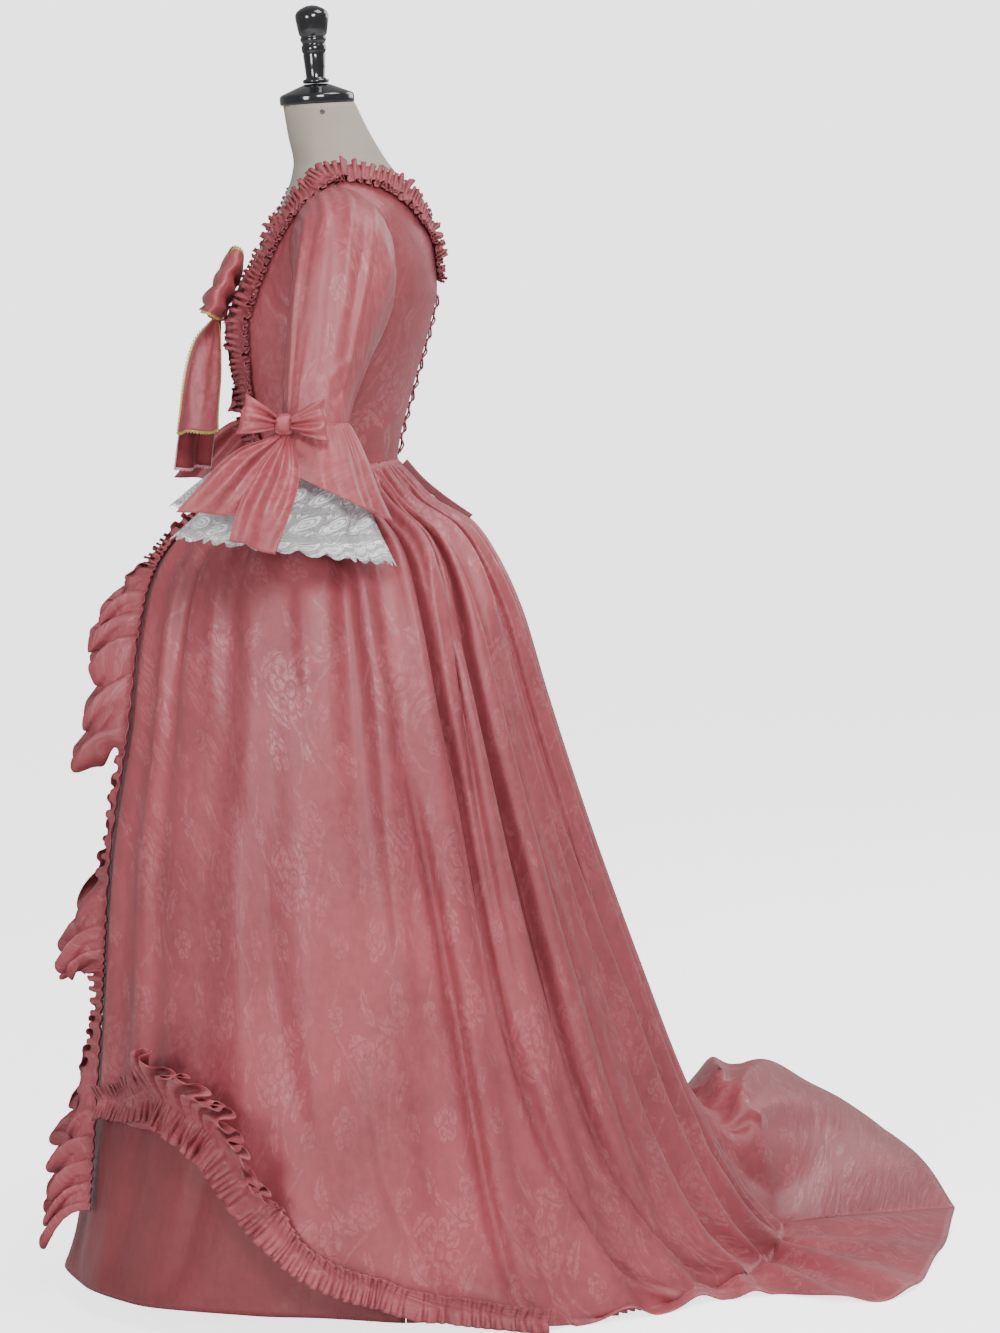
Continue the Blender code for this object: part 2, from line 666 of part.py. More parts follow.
def overskirt_base(place, drop, edge=LEFT_TRAIN_EDGE):
    """The overskirt with no pleats, its levels and its foot angles.

    place counts pleats; drop is 0 at the waist and 1 at the edge.
    """
    waist = np.radians(pleat_value(OVERSKIRT_PLEATS, "waist_deg", place))
    hip = np.radians(pleat_value(OVERSKIRT_PLEATS, "hip_deg", place))
    foot_deg = pleat_value(OVERSKIRT_PLEATS, "foot_deg", place)
    foot = np.radians(foot_deg)
    hem_height = pleat_value(OVERSKIRT_PLEATS, "hem_height", place)
    heights = np.array(column(OVERSKIRT_RINGS, "height"))
    hem_level = np.interp(-hem_height, -heights, np.arange(len(heights)))
    run = smooth_step(TRAIN_START_DEG, TRAIN_FULL_DEG, foot_deg) * TRAIN_LEVELS
    level = drop * (hem_level + run)
    angle = blend([0.0, HIP_LEVEL, FLOOR_LEVEL], np.stack([waist, hip, foot]), level)
    ring_level = np.minimum(level, FLOOR_LEVEL)
    height, half_width, front, back = skirt_radii(OVERSKIRT_RINGS, ring_level)
    point = ring_point(angle, half_width, front, back, height)
    part = np.clip((level - FLOOR_LEVEL) / np.maximum(run, LEAST_RUN), 0.0, None)
    edge_x = read(edge, "foot_deg", "x", foot_deg)
    edge_y = read(edge, "foot_deg", "y", foot_deg)
    on_floor = (level > FLOOR_LEVEL) & (run > LEAST_RUN)
    part = np.where(on_floor, part, 0.0)
    point[..., 0] += part * (edge_x - point[..., 0])
    point[..., 1] += part * (edge_y - point[..., 1])
    return point, level, foot_deg


def swept(point):
    """Carry the train to the wearer's right."""
    point = point.copy()
    point[..., 0] -= SWEEP * smooth_step(SWEEP_START, SWEEP_START + SWEEP_LENGTH, point[..., 1])
    return point


def overskirt_surface(side):
    """The pleated overskirt and train of one side."""
    count = len(OVERSKIRT_PLEATS)
    edge = LEFT_TRAIN_EDGE if side == LEFT else RIGHT_TRAIN_EDGE

    def flat_surface(u, v):
        return overskirt_base(u * count, v, edge)[0]

    def surface(u, v):
        place = u * count
        point, level, foot_deg = overskirt_base(place, v, edge)
        inner_u, inner_v = np.clip([u, v], EDGE_MARGIN, 1.0 - EDGE_MARGIN)
        normal = -surface_normals(flat_surface, inner_u, inner_v)
        index = np.clip(place.astype(int), 0, count - 1)
        part = np.clip(place - index, 0.0, 1.0)
        ridge = np.array(column(OVERSKIRT_PLEATS, "ridge"))[index]
        skew = np.array(column(OVERSKIRT_PLEATS, "skew"))[index]
        gain = read(PLEAT_GAIN, "level", "gain", level)
        rise = ridge * gain * np.sin(math.pi * part ** skew) ** 2
        out = normal * rise[..., None]
        out[..., 2] = np.where(level > UPRIGHT_PLEATS_LEVEL, np.abs(out[..., 2]), out[..., 2])
        point = point + out
        point[..., 2] = np.maximum(point[..., 2], OVERSKIRT_RINGS[-1].height)
        point[..., 0] += SEAM_GAP * smooth_step(count - 1.0, count, place)
        if side == RIGHT:
            share = read(SWELL_SHARES, "level", "share", level)
            turned_deg = np.clip(foot_deg, TRAIN_SWELL[0].foot_deg, TRAIN_SWELL[-1].foot_deg)
            point[..., 2] += share * read(TRAIN_SWELL, "foot_deg", "height", turned_deg)
        return swept(mirrored(point, side))

    return surface


def build_overskirt():
    """Both halves of the overskirt, with the train and the centre back seam."""
    for name, side in SIDES.items():
        half = overskirt_surface(side)
        cloth(
            "overskirt_" + name,
            lambda u, v, half=half: half(u, read(ROW_PLACES, "row", "drop", v)),
            len(OVERSKIRT_PLEATS) * PLEAT_COLUMNS,
            SKIRT_ROWS,
            CLOTH,
            "damask",
            facing=-side,
        )


def petticoat_surface(start_deg):
    """Half of the plain petticoat, from one side seam round to the other."""

    def surface(u, v):
        level = v * (len(PETTICOAT_RINGS) - 1.0)
        height, half_width, front, back = skirt_radii(PETTICOAT_RINGS, level)
        seam = PETTICOAT_SEAM_GAP / half_width * (0.5 - u)
        angle = np.radians(start_deg + 180.0 * u) + seam
        point = ring_point(angle, half_width, front, back, height)
        wave = np.sin(math.pi * u * PETTICOAT_PLEATS_A_HALF) ** 2
        ridge = read(PETTICOAT_RIDGES, "level", "ridge", level) * wave
        outward = point * np.array([1.0, 1.0, 0.0])
        outward /= np.linalg.norm(outward, axis=-1, keepdims=True)
        point = point + outward * ridge[..., None]
        foot = smooth_step(FLOOR_LEVEL - PETTICOAT_FALL_LEVELS, FLOOR_LEVEL, level)
        backward = smooth_step(-PETTICOAT_FALL_REACH, PETTICOAT_FALL_REACH, point[..., 1])
        point[..., 2] += foot * (PETTICOAT_HEM_WAVE * wave - PETTICOAT_FALL * backward)
        return point

    return surface


def build_petticoat():
    """The petticoat's front and back, with side seams."""
    for name, start_deg in (("petticoat_front", -90.0), ("petticoat_back", 90.0)):
        columns = PETTICOAT_PLEATS_A_HALF * PLEAT_COLUMNS
        surface = petticoat_surface(start_deg)
        cloth(name, surface, columns, PETTICOAT_ROWS, CLOTH, "petticoat", facing=-1)


def form_angle(y, height):
    """The angle round the form of a point at a depth and a height."""
    front = read(FORM_RINGS, "height", "front", height)
    back = read(FORM_RINGS, "height", "back", height)
    depth = np.where(y < 0, front, back)
    return np.arccos(np.clip(-y / depth, -1.0, 1.0))


def armhole(turn, grow=0.0):
    """Angle and height of a point on the armhole; turn 0 is its back, a quarter its top."""
    y = ARMHOLE_Y + (ARMHOLE_HALF_DEPTH + grow) * np.cos(turn)
    height = ARMHOLE_Z + (ARMHOLE_HALF_HEIGHT + grow) * np.sin(turn)
    return form_angle(y, height), height


def bodice_lift(height):
    """How far the bodice's outer side lies from the form, with ease over the shoulder."""
    ease = SHOULDER_EASE * smooth_step(SHOULDER_EASE_START, SHOULDER_EASE_END, height)
    return FORM_CLEARANCE + CLOTH + ease


def seam_turn(height):
    """Half of a seam's gap, as an angle round the form."""
    return SEAM_GAPS_A_SEAM * SEAM_GAP / read(FORM_RINGS, "height", "front", height)


def side_edge(v, direction):
    """The bodice's side seam and armhole edge: direction is -1 at the front, 1 at the back."""
    under_angle, under_height = armhole(np.array([-math.pi / 2]), ARMHOLE_MARGIN)
    part = np.clip(v / SIDE_SEAM_PART, 0.0, 1.0)
    seam_angle = math.pi / 2 + part * (under_angle - math.pi / 2)
    seam_height = BODICE_FOOT + part * (under_height - BODICE_FOOT)
    along = np.clip((v - SIDE_SEAM_PART) / (1.0 - SIDE_SEAM_PART), 0.0, 1.0)
    turn = -math.pi / 2 + direction * math.pi * along
    hole_angle, hole_height = armhole(turn, ARMHOLE_MARGIN)
    on_seam = v <= SIDE_SEAM_PART
    return np.where(on_seam, seam_angle, hole_angle), np.where(on_seam, seam_height, hole_height)


def front_edge(v):
    """The front panel's other edge: up the robing and the neckline to the shoulder."""
    return robing_place(v * SHOULDER_ALONG)


def back_edge(v):
    """The back panel's other edge: up the laced centre back and round the neckline."""
    part = np.clip(v / LACED_PART, 0.0, 1.0)
    last = ROBING_LINE[-1]
    laced_height = BODICE_FOOT + part * (last.height - BODICE_FOOT)
    laced_angle = math.radians(last.angle_deg)
    above = np.clip((v - LACED_PART) / (1.0 - LACED_PART), 0.0, 1.0)
    neck_angle, neck_height = robing_place(1.0 - (1.0 - SHOULDER_ALONG) * above)
    on_lacing = v <= LACED_PART
    return np.where(on_lacing, laced_angle, neck_angle), np.where(on_lacing, laced_height, neck_height)


def robing_place(along):
    """Angle and height on the form of a place along the ruffle's line."""
    angle = np.radians(read(ROBING_LINE, "along", "angle_deg", along))
    height = read(ROBING_LINE, "along", "height", along)
    return angle, height


def bodice_surface(inner_edge, direction, side):
    """A bodice panel between its side edge and its inner edge."""

    def surface(u, v):
        upward = v * SHOULDER_SEAM
        place = (1 - u) * np.stack(inner_edge(upward)) + u * np.stack(side_edge(upward, direction))
        place[1] = np.maximum(place[1], BODICE_FOOT)
        angle = place[0] + seam_turn(place[1]) * (1 - 2 * u) * (-direction)
        return mirrored(on_form(angle, place[1], bodice_lift(place[1])), side)

    return surface


def stomacher_surface(u, v):
    """The panel between the front edges."""
    height = STOMACHER_FOOT + v * (NECKLINE_FRONT - STOMACHER_FOOT)
    front_rows = [row for row in ROBING_LINE if row.along < SHOULDER_ALONG]
    along = np.interp(height, column(front_rows, "height"), column(front_rows, "along"))
    reach = robing_place(along)[0] - STOMACHER_SEAM_TURNS * seam_turn(height)
    return on_form((2 * u - 1) * reach, height, bodice_lift(height))


def build_bodice():
    """Front and back panels and the stomacher."""
    for name, side in SIDES.items():
        front = bodice_surface(front_edge, -1, side)
        cloth("bodice_front_" + name, front, BODICE_FRONT_COLUMNS, BODICE_ROWS, CLOTH, "damask", facing=side)
        back = bodice_surface(back_edge, 1, side)
        cloth("bodice_back_" + name, back, BODICE_BACK_COLUMNS, BODICE_ROWS, CLOTH, "damask", facing=-side)
    cloth("stomacher", stomacher_surface, STOMACHER_COLUMNS, STOMACHER_ROWS, CLOTH, "damask")


def robing_surface(side):
    """The ruched ruffle along the front edge, over the shoulder and down the back."""

    def surface(u, v):
        across = 2 * v - 1
        wave = np.sin(2 * math.pi * ROBING_WAVES * u + RUFFLE_LEAN * across)
        angle, height = robing_place(u)
        angle_on, height_on = robing_place(np.clip(u + PLACE_STEP, 0, 1))
        angle_off, height_off = robing_place(np.clip(u - PLACE_STEP, 0, 1))
        base = bodice_lift(height) + TRIM_LIFT + RIBBON
        middle = on_form(angle, height, base)
        along = on_form(angle_on, height_on, base) - on_form(angle_off, height_off, base)
        along /= np.linalg.norm(along, axis=-1, keepdims=True)
        out = on_form(angle, height, 1.0 + 0 * u) - on_form(angle, height, 0 * u)
        sideways = np.cross(along, out)
        lift = np.abs(across) * (ROBING_RISE + ROBING_FRILL * (0.5 + 0.5 * wave))
        taper = 1.0 - (1.0 - ROBING_END_WIDTH) * smooth_step(ROBING_TAPER_START, 1.0, u)
        spread = across * taper * ROBING_HALF_WIDTH * (1.0 - RUFFLE_SPREAD * (1.0 - wave))
        return mirrored(middle + sideways * spread[..., None] + out * lift[..., None], side)

    return surface


def build_robings():
    """The neckline ruffle of each side."""
    for name, side in SIDES.items():
        columns = ROBING_WAVES * WAVE_COLUMNS
        cloth("robing_" + name, robing_surface(side), columns, TRIM_ROWS, RIBBON, "damask", facing=-side)


def oval_ring(table, turn, level):
    """A point on a sleeve's or flounce's rings; turn 0 is the back, a quarter the outside."""
    levels = np.arange(len(table))
    outer_x, outer_z, inner_x, inner_z, front, back, tilt = [
        blend(levels, column(table, name), level) for name in SleeveRing._fields
    ]
    power = 2.0 / SLEEVE_SQUARENESS
    backward = np.sign(np.cos(turn)) * np.abs(np.cos(turn)) ** power
    outward = np.sign(np.sin(turn)) * np.abs(np.sin(turn)) ** power
    x = (outer_x + inner_x) / 2 + outward * (outer_x - inner_x) / 2
    y = (front + back) / 2 + backward * (back - front) / 2
    z = (outer_z + inner_z) / 2 + outward * (outer_z - inner_z) / 2 - backward * tilt / 2
    return np.stack([x, y, z], axis=-1)


def sleeve_surface(side):
    """The elbow sleeve, from the armhole to its end."""

    def surface(u, v):
        turn = 2 * math.pi * u
        level = v * len(SLEEVE_RINGS)
        angle, height = armhole(turn)
        start = on_form(angle, height, bodice_lift(height) + SLEEVE_LAP)
        rings = [oval_ring(SLEEVE_RINGS, turn, np.zeros_like(turn) + i) for i in range(len(SLEEVE_RINGS))]
        stack = np.stack([start] + rings)
        knots = np.arange(len(stack))
        point = np.stack([blend(knots, stack[..., axis], level) for axis in range(3)], axis=-1)
        return mirrored(point, side)

    return surface


def flared_surface(table, waves, depth, side):
    """A flared tube whose waves grow towards its free edge."""

    def surface(u, v):
        turn = 2 * math.pi * u
        level = v * (len(table) - 1.0)
        point = oval_ring(table, turn, level)
        quarters = [oval_ring(table, 0 * turn + part * math.pi / 2, level) for part in range(4)]
        outward = point - sum(quarters) / 4
        outward /= np.linalg.norm(outward, axis=-1, keepdims=True)
        wave = depth * v * np.sin(waves * turn)
        return mirrored(point + outward * wave[..., None], side)

    return surface


def flounce_surface(side):
    """The damask flounce at a sleeve's end."""
    return flared_surface(FLOUNCE_RINGS, FLOUNCE_WAVES, FLOUNCE_WAVE_DEPTH, side)


def lace_surface(side):
    """The lace flounce under the damask one."""
    return flared_surface(LACE_RINGS, LACE_WAVES, LACE_WAVE_DEPTH, side)


def build_sleeves():
    """Sleeves with a damask flounce over a lace one."""
    tubes = [
        ("sleeve_", sleeve_surface, SLEEVE_COLUMNS, SLEEVE_ROWS, CLOTH, "damask"),
        ("sleeve_flounce_", flounce_surface, FLOUNCE_WAVES * WAVE_COLUMNS, FLOUNCE_ROWS, RIBBON, "damask"),
        ("sleeve_lace_", lace_surface, LACE_WAVES * WAVE_COLUMNS, FLOUNCE_ROWS, LACE, "lace"),
    ]
    for name, side in SIDES.items():
        for start, surface, columns, rows, wall, finish in tubes:
            cloth(start + name, surface(side), columns, rows, wall, finish, facing=-side, tube=True)


def trim_surface(table, waves, side):
    """A ruched trim stitched to the overskirt, with fans where its edges widen."""
    count = len(OVERSKIRT_PLEATS)
    skirt = overskirt_surface(LEFT)

    def flat_surface(u, v):
        return overskirt_base(u * count, v)[0]

    def line(along):
        return read(table, "along", "pleat", along) / count, read(table, "along", "drop", along)

    def surface(u, v):
        across = 2 * v - 1
        middle_u, middle_v = line(u)
        middle = skirt(middle_u, middle_v)
        along = skirt(*line(np.clip(u + PLACE_STEP, 0, 1))) - skirt(*line(np.clip(u - PLACE_STEP, 0, 1)))
        along /= np.linalg.norm(along, axis=-1, keepdims=True)
        out = -surface_normals(flat_surface, middle_u, middle_v)
        sideways = np.cross(out, along)
        width = np.where(across < 0, read(table, "along", "outer", u), read(table, "along", "inner", u))
        stand_deg = np.where(width > NARROW_TRIM, read(table, "along", "stand_deg", u), NARROW_STAND_DEG)
        stand = np.radians(stand_deg)
        wave = np.sin(2 * math.pi * waves * u + TRIM_LEAN * across)
        reach = across * width * np.cos(stand)
        frill = read(table, "along", "frill", u) * (0.5 + 0.5 * wave)
        lift = TRIM_BASE + np.abs(across) * (width * np.sin(stand) + frill)
        return mirrored(middle + sideways * reach[..., None] + out * lift[..., None], side)

    return surface


def build_trims():
    """Trim along the opening and the hem of the overskirt."""
    trims = (
        ("trim_front_", TRIM_FRONT, TRIM_FRONT_WAVES),
        ("trim_hem_", TRIM_HEM, TRIM_HEM_WAVES),
    )
    for name, side in SIDES.items():
        for start, table, waves in trims:
            surface = trim_surface(table, waves, side)
            cloth(start + name, surface, waves * WAVE_COLUMNS, TRIM_ROWS, RIBBON, "damask", facing=side)


def knot(name, centre, half, side):
    """A small pulled knot, a rounded block."""
    mesh = bpy.data.meshes.new(name)
    ball = bmesh.new()
    bmesh.ops.create_uvsphere(ball, u_segments=KNOT_SIDES, v_segments=KNOT_ROWS, radius=1.0)
    for vertex in ball.verts:
        vertex.co = [half[axis] * vertex.co[axis] for axis in range(3)]
    ball.to_mesh(mesh)
    ball.free()
    item = new_object(name, mesh, "damask")
    item.location = (centre[0] * side, centre[1], centre[2])


def unit(direction):
    """A direction with length 1."""
    direction = np.array(direction)
    return direction / np.linalg.norm(direction)


def loop_surface(centre, loop, side):
    """A bow's loop: out from the knot, round its end and back behind."""
    out = unit(loop.out)
    up = unit(loop.up)
    face = np.cross(up, out)

    def surface(u, v):
        across = 2 * v - 1
        swing = np.sin(math.pi * u)
        reach = loop.start + (loop.length - loop.start) * swing
        depth = loop.puff * np.cos(math.pi * u) * (LOOP_PUFF_AT_KNOT + (1.0 - LOOP_PUFF_AT_KNOT) * swing)
        spread = loop.half_width * (LOOP_NECK_WIDTH + (1.0 - LOOP_NECK_WIDTH) * swing ** LOOP_SPREAD_POWER)
        pucker = LOOP_PUCKER * loop.half_width * np.cos(2 * math.pi * across) * (1 - swing)
        point = (
            np.array(centre)
            + out * reach[..., None]
            + face * (depth + pucker)[..., None]
            + up * (across * spread)[..., None]
        )
        return mirrored(point, side)

    return surface


def tail_surface(table, width_direction, side):
    """A flat ribbon along its middle line, rippled across."""
    direction = unit(width_direction)
    rows = np.linspace(0.0, 1.0, len(table))
    fall = np.array(table[-1][:3]) - np.array(table[0][:3])
    face = unit(np.cross(direction, fall))

    def surface(u, v):
        across = 2 * u - 1
        middle = np.stack([blend(rows, column(table, name), v) for name in ("x", "y", "z")], axis=-1)
        half_width = blend(rows, column(table, "half_width"), v)
        ripple = blend(rows, column(table, "ripple"), v) * np.sin(math.pi * RIPPLES * across)
        sideways = direction * (across * half_width)[..., None]
        return mirrored(middle + sideways + face * ripple[..., None], side)

    return surface


def ribbon(name, table, width_direction, side, columns=TAIL_COLUMNS, rows=TAIL_ROWS):
    """A bow's tail or the tie."""
    surface = tail_surface(table, width_direction, side)
    cloth(name, surface, columns, rows, RIBBON, "damask", offset=0.0)


def build_tie():
    """The flat tie that hangs from the laced back."""
    ribbon("waist_tie", TIE, TIE_WIDTH, LEFT, TIE_COLUMNS, TIE_ROWS)


def build_chest_bow():
    """The bow on the stomacher."""
    knot("chest_bow_knot", CHEST_KNOT, CHEST_KNOT_HALF, LEFT)
    for name, side in SIDES.items():
        loop = loop_surface(CHEST_KNOT, CHEST_LOOP, side)
        cloth("chest_bow_loop_" + name, loop, CHEST_LOOP_COLUMNS, LOOP_ROWS, RIBBON, "damask", offset=0.0)
    ribbon("chest_bow_tail_left", CHEST_TAIL, CHEST_TAIL_WIDTH, LEFT)
    ribbon("chest_bow_tail_right", CHEST_LONG_TAIL, CHEST_LONG_TAIL_WIDTH, LEFT)


def build_elbow_bows():
    """A bow at each elbow."""
    for name, side in SIDES.items():
        knot("elbow_bow_knot_" + name, ELBOW_KNOT, ELBOW_KNOT_HALF, side)
        for loop in ELBOW_LOOPS:
            surface = loop_surface(ELBOW_KNOT, loop, side)
            full_name = "elbow_bow_loop_" + loop.name + "_" + name
            cloth(full_name, surface, ELBOW_LOOP_COLUMNS, LOOP_ROWS, RIBBON, "damask", offset=0.0)
        ribbon("elbow_bow_tail_front_" + name, ELBOW_FRONT_TAIL, ELBOW_FRONT_TAIL_WIDTH, side)
        ribbon("elbow_bow_tail_low_" + name, ELBOW_LOW_TAIL, ELBOW_LOW_TAIL_WIDTH, side)


clear_scene()
GOWN = bpy.data.collections.new("ball_gown_on_dress_form")
bpy.context.scene.collection.children.link(GOWN)
build_form()
build_stand()
build_petticoat()
build_overskirt()
build_bodice()
build_robings()
build_sleeves()
build_trims()
build_tie()
build_chest_bow()
build_elbow_bows()
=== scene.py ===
"""Looks of a pink damask ball gown with a train, worn by a limbless dress form.

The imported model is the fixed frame. Each cloth piece here is a thin shell on the form of
its solid, with the finer folds and frills that the solid leaves out. Metres, +Z up, the
front faces -Y, the train runs to +Y and the wearer's left is +X.
"""

import logging
import math
from collections.abc import Callable
from dataclasses import dataclass, field
from enum import Enum

import bpy
import numpy as np
from mathutils import Matrix, Vector


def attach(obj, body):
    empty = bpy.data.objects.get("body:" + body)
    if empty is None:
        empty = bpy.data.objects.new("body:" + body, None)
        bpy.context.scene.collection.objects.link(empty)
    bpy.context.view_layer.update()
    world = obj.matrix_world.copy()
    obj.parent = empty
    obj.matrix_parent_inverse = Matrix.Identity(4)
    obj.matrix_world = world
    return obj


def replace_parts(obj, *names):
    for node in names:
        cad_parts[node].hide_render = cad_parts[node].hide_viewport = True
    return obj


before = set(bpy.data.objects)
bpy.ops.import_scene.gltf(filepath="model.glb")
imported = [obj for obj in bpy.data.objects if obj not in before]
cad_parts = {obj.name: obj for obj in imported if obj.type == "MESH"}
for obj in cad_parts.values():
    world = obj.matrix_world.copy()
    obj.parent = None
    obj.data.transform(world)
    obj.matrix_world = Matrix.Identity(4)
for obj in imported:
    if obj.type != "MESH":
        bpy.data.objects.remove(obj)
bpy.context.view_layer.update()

Floats = np.ndarray
Point = tuple[float, float, float]
Material, Piece = bpy.types.Material, bpy.types.Object
Node, Socket = bpy.types.Node, bpy.types.NodeSocket
Surface = Callable[[Floats, Floats], Floats]
LOG = logging.getLogger("ball_gown")
UV_NAME = "cloth"
SEAM_GAP = 0.0004
FLOOR_GAP = 0.0004
WELD_REACH = 0.00002
THREAD_SIDES = 6


class Side(Enum):
    """A side of the wearer, with the sign of its X."""

    LEFT = 1.0
    RIGHT = -1.0

    @property
    def word(self) -> str:
        """The side's name in piece names."""
        return self.name.lower()


class Held(Enum):
    """How a sheet of cloth is held."""

    HUNG = "hung"
    GATHERED = "gathered"
    STRETCHED = "stretched"


class Table:
    """Rows of numbers under named columns, read smoothly and with no overshoot."""

    def __init__(self, names: str, *rows: tuple[float, ...]) -> None:
        """Keep the rows.

        Args:
            names: The columns' names, parted by spaces.
            rows: One tuple a row; the first column rises.
        """
        self.names = names.split()
        self.rows = np.array(rows, float)

    def column(self, name: str) -> Floats:
        """One whole column."""
        return self.rows[:, self.names.index(name)]

    def read(self, name: str, place: Floats | float) -> Floats:
        """A column's values at places along the first column."""
        return blend(self.rows[:, 0], self.column(name), place)

    def at(self, name: str, level: Floats | float) -> Floats:
        """A column's values at places counted in rows."""
        return blend(np.arange(len(self.rows)), self.column(name), level)


def table_field(names: str, *rows: tuple[float, ...]) -> Table:
    """A dataclass field that holds a table of its own."""
    return field(default_factory=lambda: Table(names, *rows))


def blend(knots: Floats, values: Floats, place: Floats | float) -> Floats:
    """Read a smooth curve through rows of values, with no overshoot between rows.

    Args:
        knots: Where the rows lie, rising.
        values: One row a knot, which holds one number or one a place.
        place: Where to read.

    Returns:
        One number a place.
    """
    knots = np.asarray(knots, float)
    values = np.asarray(values, float)
    place = np.atleast_1d(np.asarray(place, float))
    if values.ndim == 1:
        values = values[:, None]
    values = np.broadcast_to(values, (len(knots), len(place)))
    slopes = np.diff(values, axis=0) / np.diff(knots)[:, None]
    tangents = np.empty(values.shape)
    tangents[0] = slopes[0]
    tangents[-1] = slopes[-1]
    products = slopes[:-1] * slopes[1:]
    sums = np.where(products > 0, slopes[:-1] + slopes[1:], 1.0)
    tangents[1:-1] = np.where(products > 0, 2.0 * products / sums, 0.0)
    index = np.clip(np.searchsorted(knots, place) - 1, 0, len(knots) - 2)
    pick = np.arange(len(place))
    step = knots[index + 1] - knots[index]
    part = np.clip((place - knots[index]) / step, 0.0, 1.0)
    over = place - knots[index] - part * step
    start, end = values[index, pick], values[index + 1, pick]
    start_tangent, end_tangent = tangents[index, pick], tangents[index + 1, pick]
    square, cube = part * part, part * part * part
    inside = (
        (2 * cube - 3 * square + 1) * start
        + (cube - 2 * square + part) * step * start_tangent
        + (3 * square - 2 * cube) * end
        + (cube - square) * step * end_tangent
    )
    return inside + over * np.where(part > 0.5, end_tangent, start_tangent)


def smooth_step(low: float, high: float, value: Floats) -> Floats:
    """0 below low, 1 above high, and soft between them."""
    part = np.clip((np.asarray(value, float) - low) / (high - low), 0.0, 1.0)
    return part * part * (3.0 - 2.0 * part)


def unit(vectors: Floats) -> Floats:
    """The same directions with length 1."""
    vectors = np.asarray(vectors, float)
    return vectors / np.maximum(np.linalg.norm(vectors, axis=-1, keepdims=True), 1e-12)


def surface_normals(surface: Surface, u: Floats, v: Floats, step: float = 1e-4) -> Floats:
    """Unit normals of a surface, along u crossed with v."""
    along = surface(u + step, v) - surface(u - step, v)
    across = surface(u, v + step) - surface(u, v - step)
    return unit(np.cross(along, across))


def mirrored(points: Floats, side: Side) -> Floats:
    """The same points on the given side of the wearer."""
    return points * np.array([side.value, 1.0, 1.0])


def ring_point(angle: Floats, half_width: Floats, front: Floats, back: Floats, height: Floats) -> Floats:
    """A point on an oval ring; angle 0 is the front and grows to the wearer's left."""
    cosine = np.cos(angle)
    depth = np.where(cosine > 0, front, back)
    return np.stack([half_width * np.sin(angle), -depth * cosine, height + 0 * angle], axis=-1)


def drift(across: Floats, down: Floats, cell: tuple[float, float], seed: int) -> Floats:
    """Smooth, seeded unevenness from -1 to 1.

    Args:
        across: Places across the cloth.
        down: Places down the cloth.
        cell: How far apart the hills are across and down.
        seed: Which of the many patterns.

    Returns:
        One number a place.
    """
    count = 64
    hills = np.random.default_rng(seed).uniform(-1.0, 1.0, (count, count))
    x, y = across / cell[0] + 7.3, down / cell[1] + 3.1
    x0, y0 = np.floor(x), np.floor(y)
    fx, fy = x - x0, y - y0
    fx, fy = fx * fx * (3 - 2 * fx), fy * fy * (3 - 2 * fy)
    i, j = x0.astype(int) % count, y0.astype(int) % count
    i1, j1 = (i + 1) % count, (j + 1) % count
    low = hills[i, j] * (1 - fx) + hills[i1, j] * fx
    high = hills[i, j1] * (1 - fx) + hills[i1, j1] * fx
    return low * (1 - fy) + high * fy


@dataclass(frozen=True)
class Crease:
    """A soft ridge along a line on a flat sheet, or a trough where its height is below 0.

    Start and end are metres across and down the sheet; one side is steeper where lean is
    below 1.
    """

    start: tuple[float, float]
    end: tuple[float, float]
    width: float
    height: float
    lean: float = 1.0

    def relief(self, across: Floats, down: Floats) -> Floats:
        """How far the crease lifts each place."""
        run = np.subtract(self.end, self.start)
        length = math.hypot(*run)
        x, y = across - self.start[0], down - self.start[1]
        part = np.clip((x * run[0] + y * run[1]) / length**2, 0.0, 1.0)
        beside = (x * run[1] - y * run[0]) / length
        width = np.where(beside > 0, self.width, self.width * self.lean)
        return self.height * np.sin(math.pi * part) ** 0.7 * np.exp(-((beside / width) ** 2))


@dataclass(frozen=True)
class Fold:
    """A soft ridge that runs down the skirt, or a trough where its height is below 0.

    Path rows hold a drop and a place in pleats; the two widths are those of its top and
    its foot, in pleats; the side towards the front is steeper where lean is below 1.
    """

    path: tuple[tuple[float, float], ...]
    widths: tuple[float, float]
    height: float
    lean: float = 1.0

    def relief(self, place: Floats, drop: Floats) -> Floats:
        """How far the fold lifts each place."""
        drops, places = np.array(self.path).T
        part = np.clip((drop - drops[0]) / (drops[-1] - drops[0]), 0.0, 1.0)
        width = self.widths[0] + (self.widths[1] - self.widths[0]) * part
        beside = (place - blend(drops, places, np.clip(drop, drops[0], drops[-1]))) / width
        beside = np.where(beside > 0, beside, beside / self.lean)
        return self.height * np.sin(math.pi * part) ** 0.5 * np.exp(-(beside**2))

    def moved(self, shift: float, share: float) -> "Fold":
        """A like fold elsewhere, with a share of the height."""
        path = tuple((drop, place + shift * (1.0 - 0.5 * drop)) for drop, place in self.path)
        return Fold(path, self.widths[::-1], self.height * share, self.lean)


def creased(creases: tuple, across: Floats, down: Floats) -> Floats:
    """All of a sheet's creases or folds together."""
    return sum((crease.relief(across, down) for crease in creases), 0.0 * across)


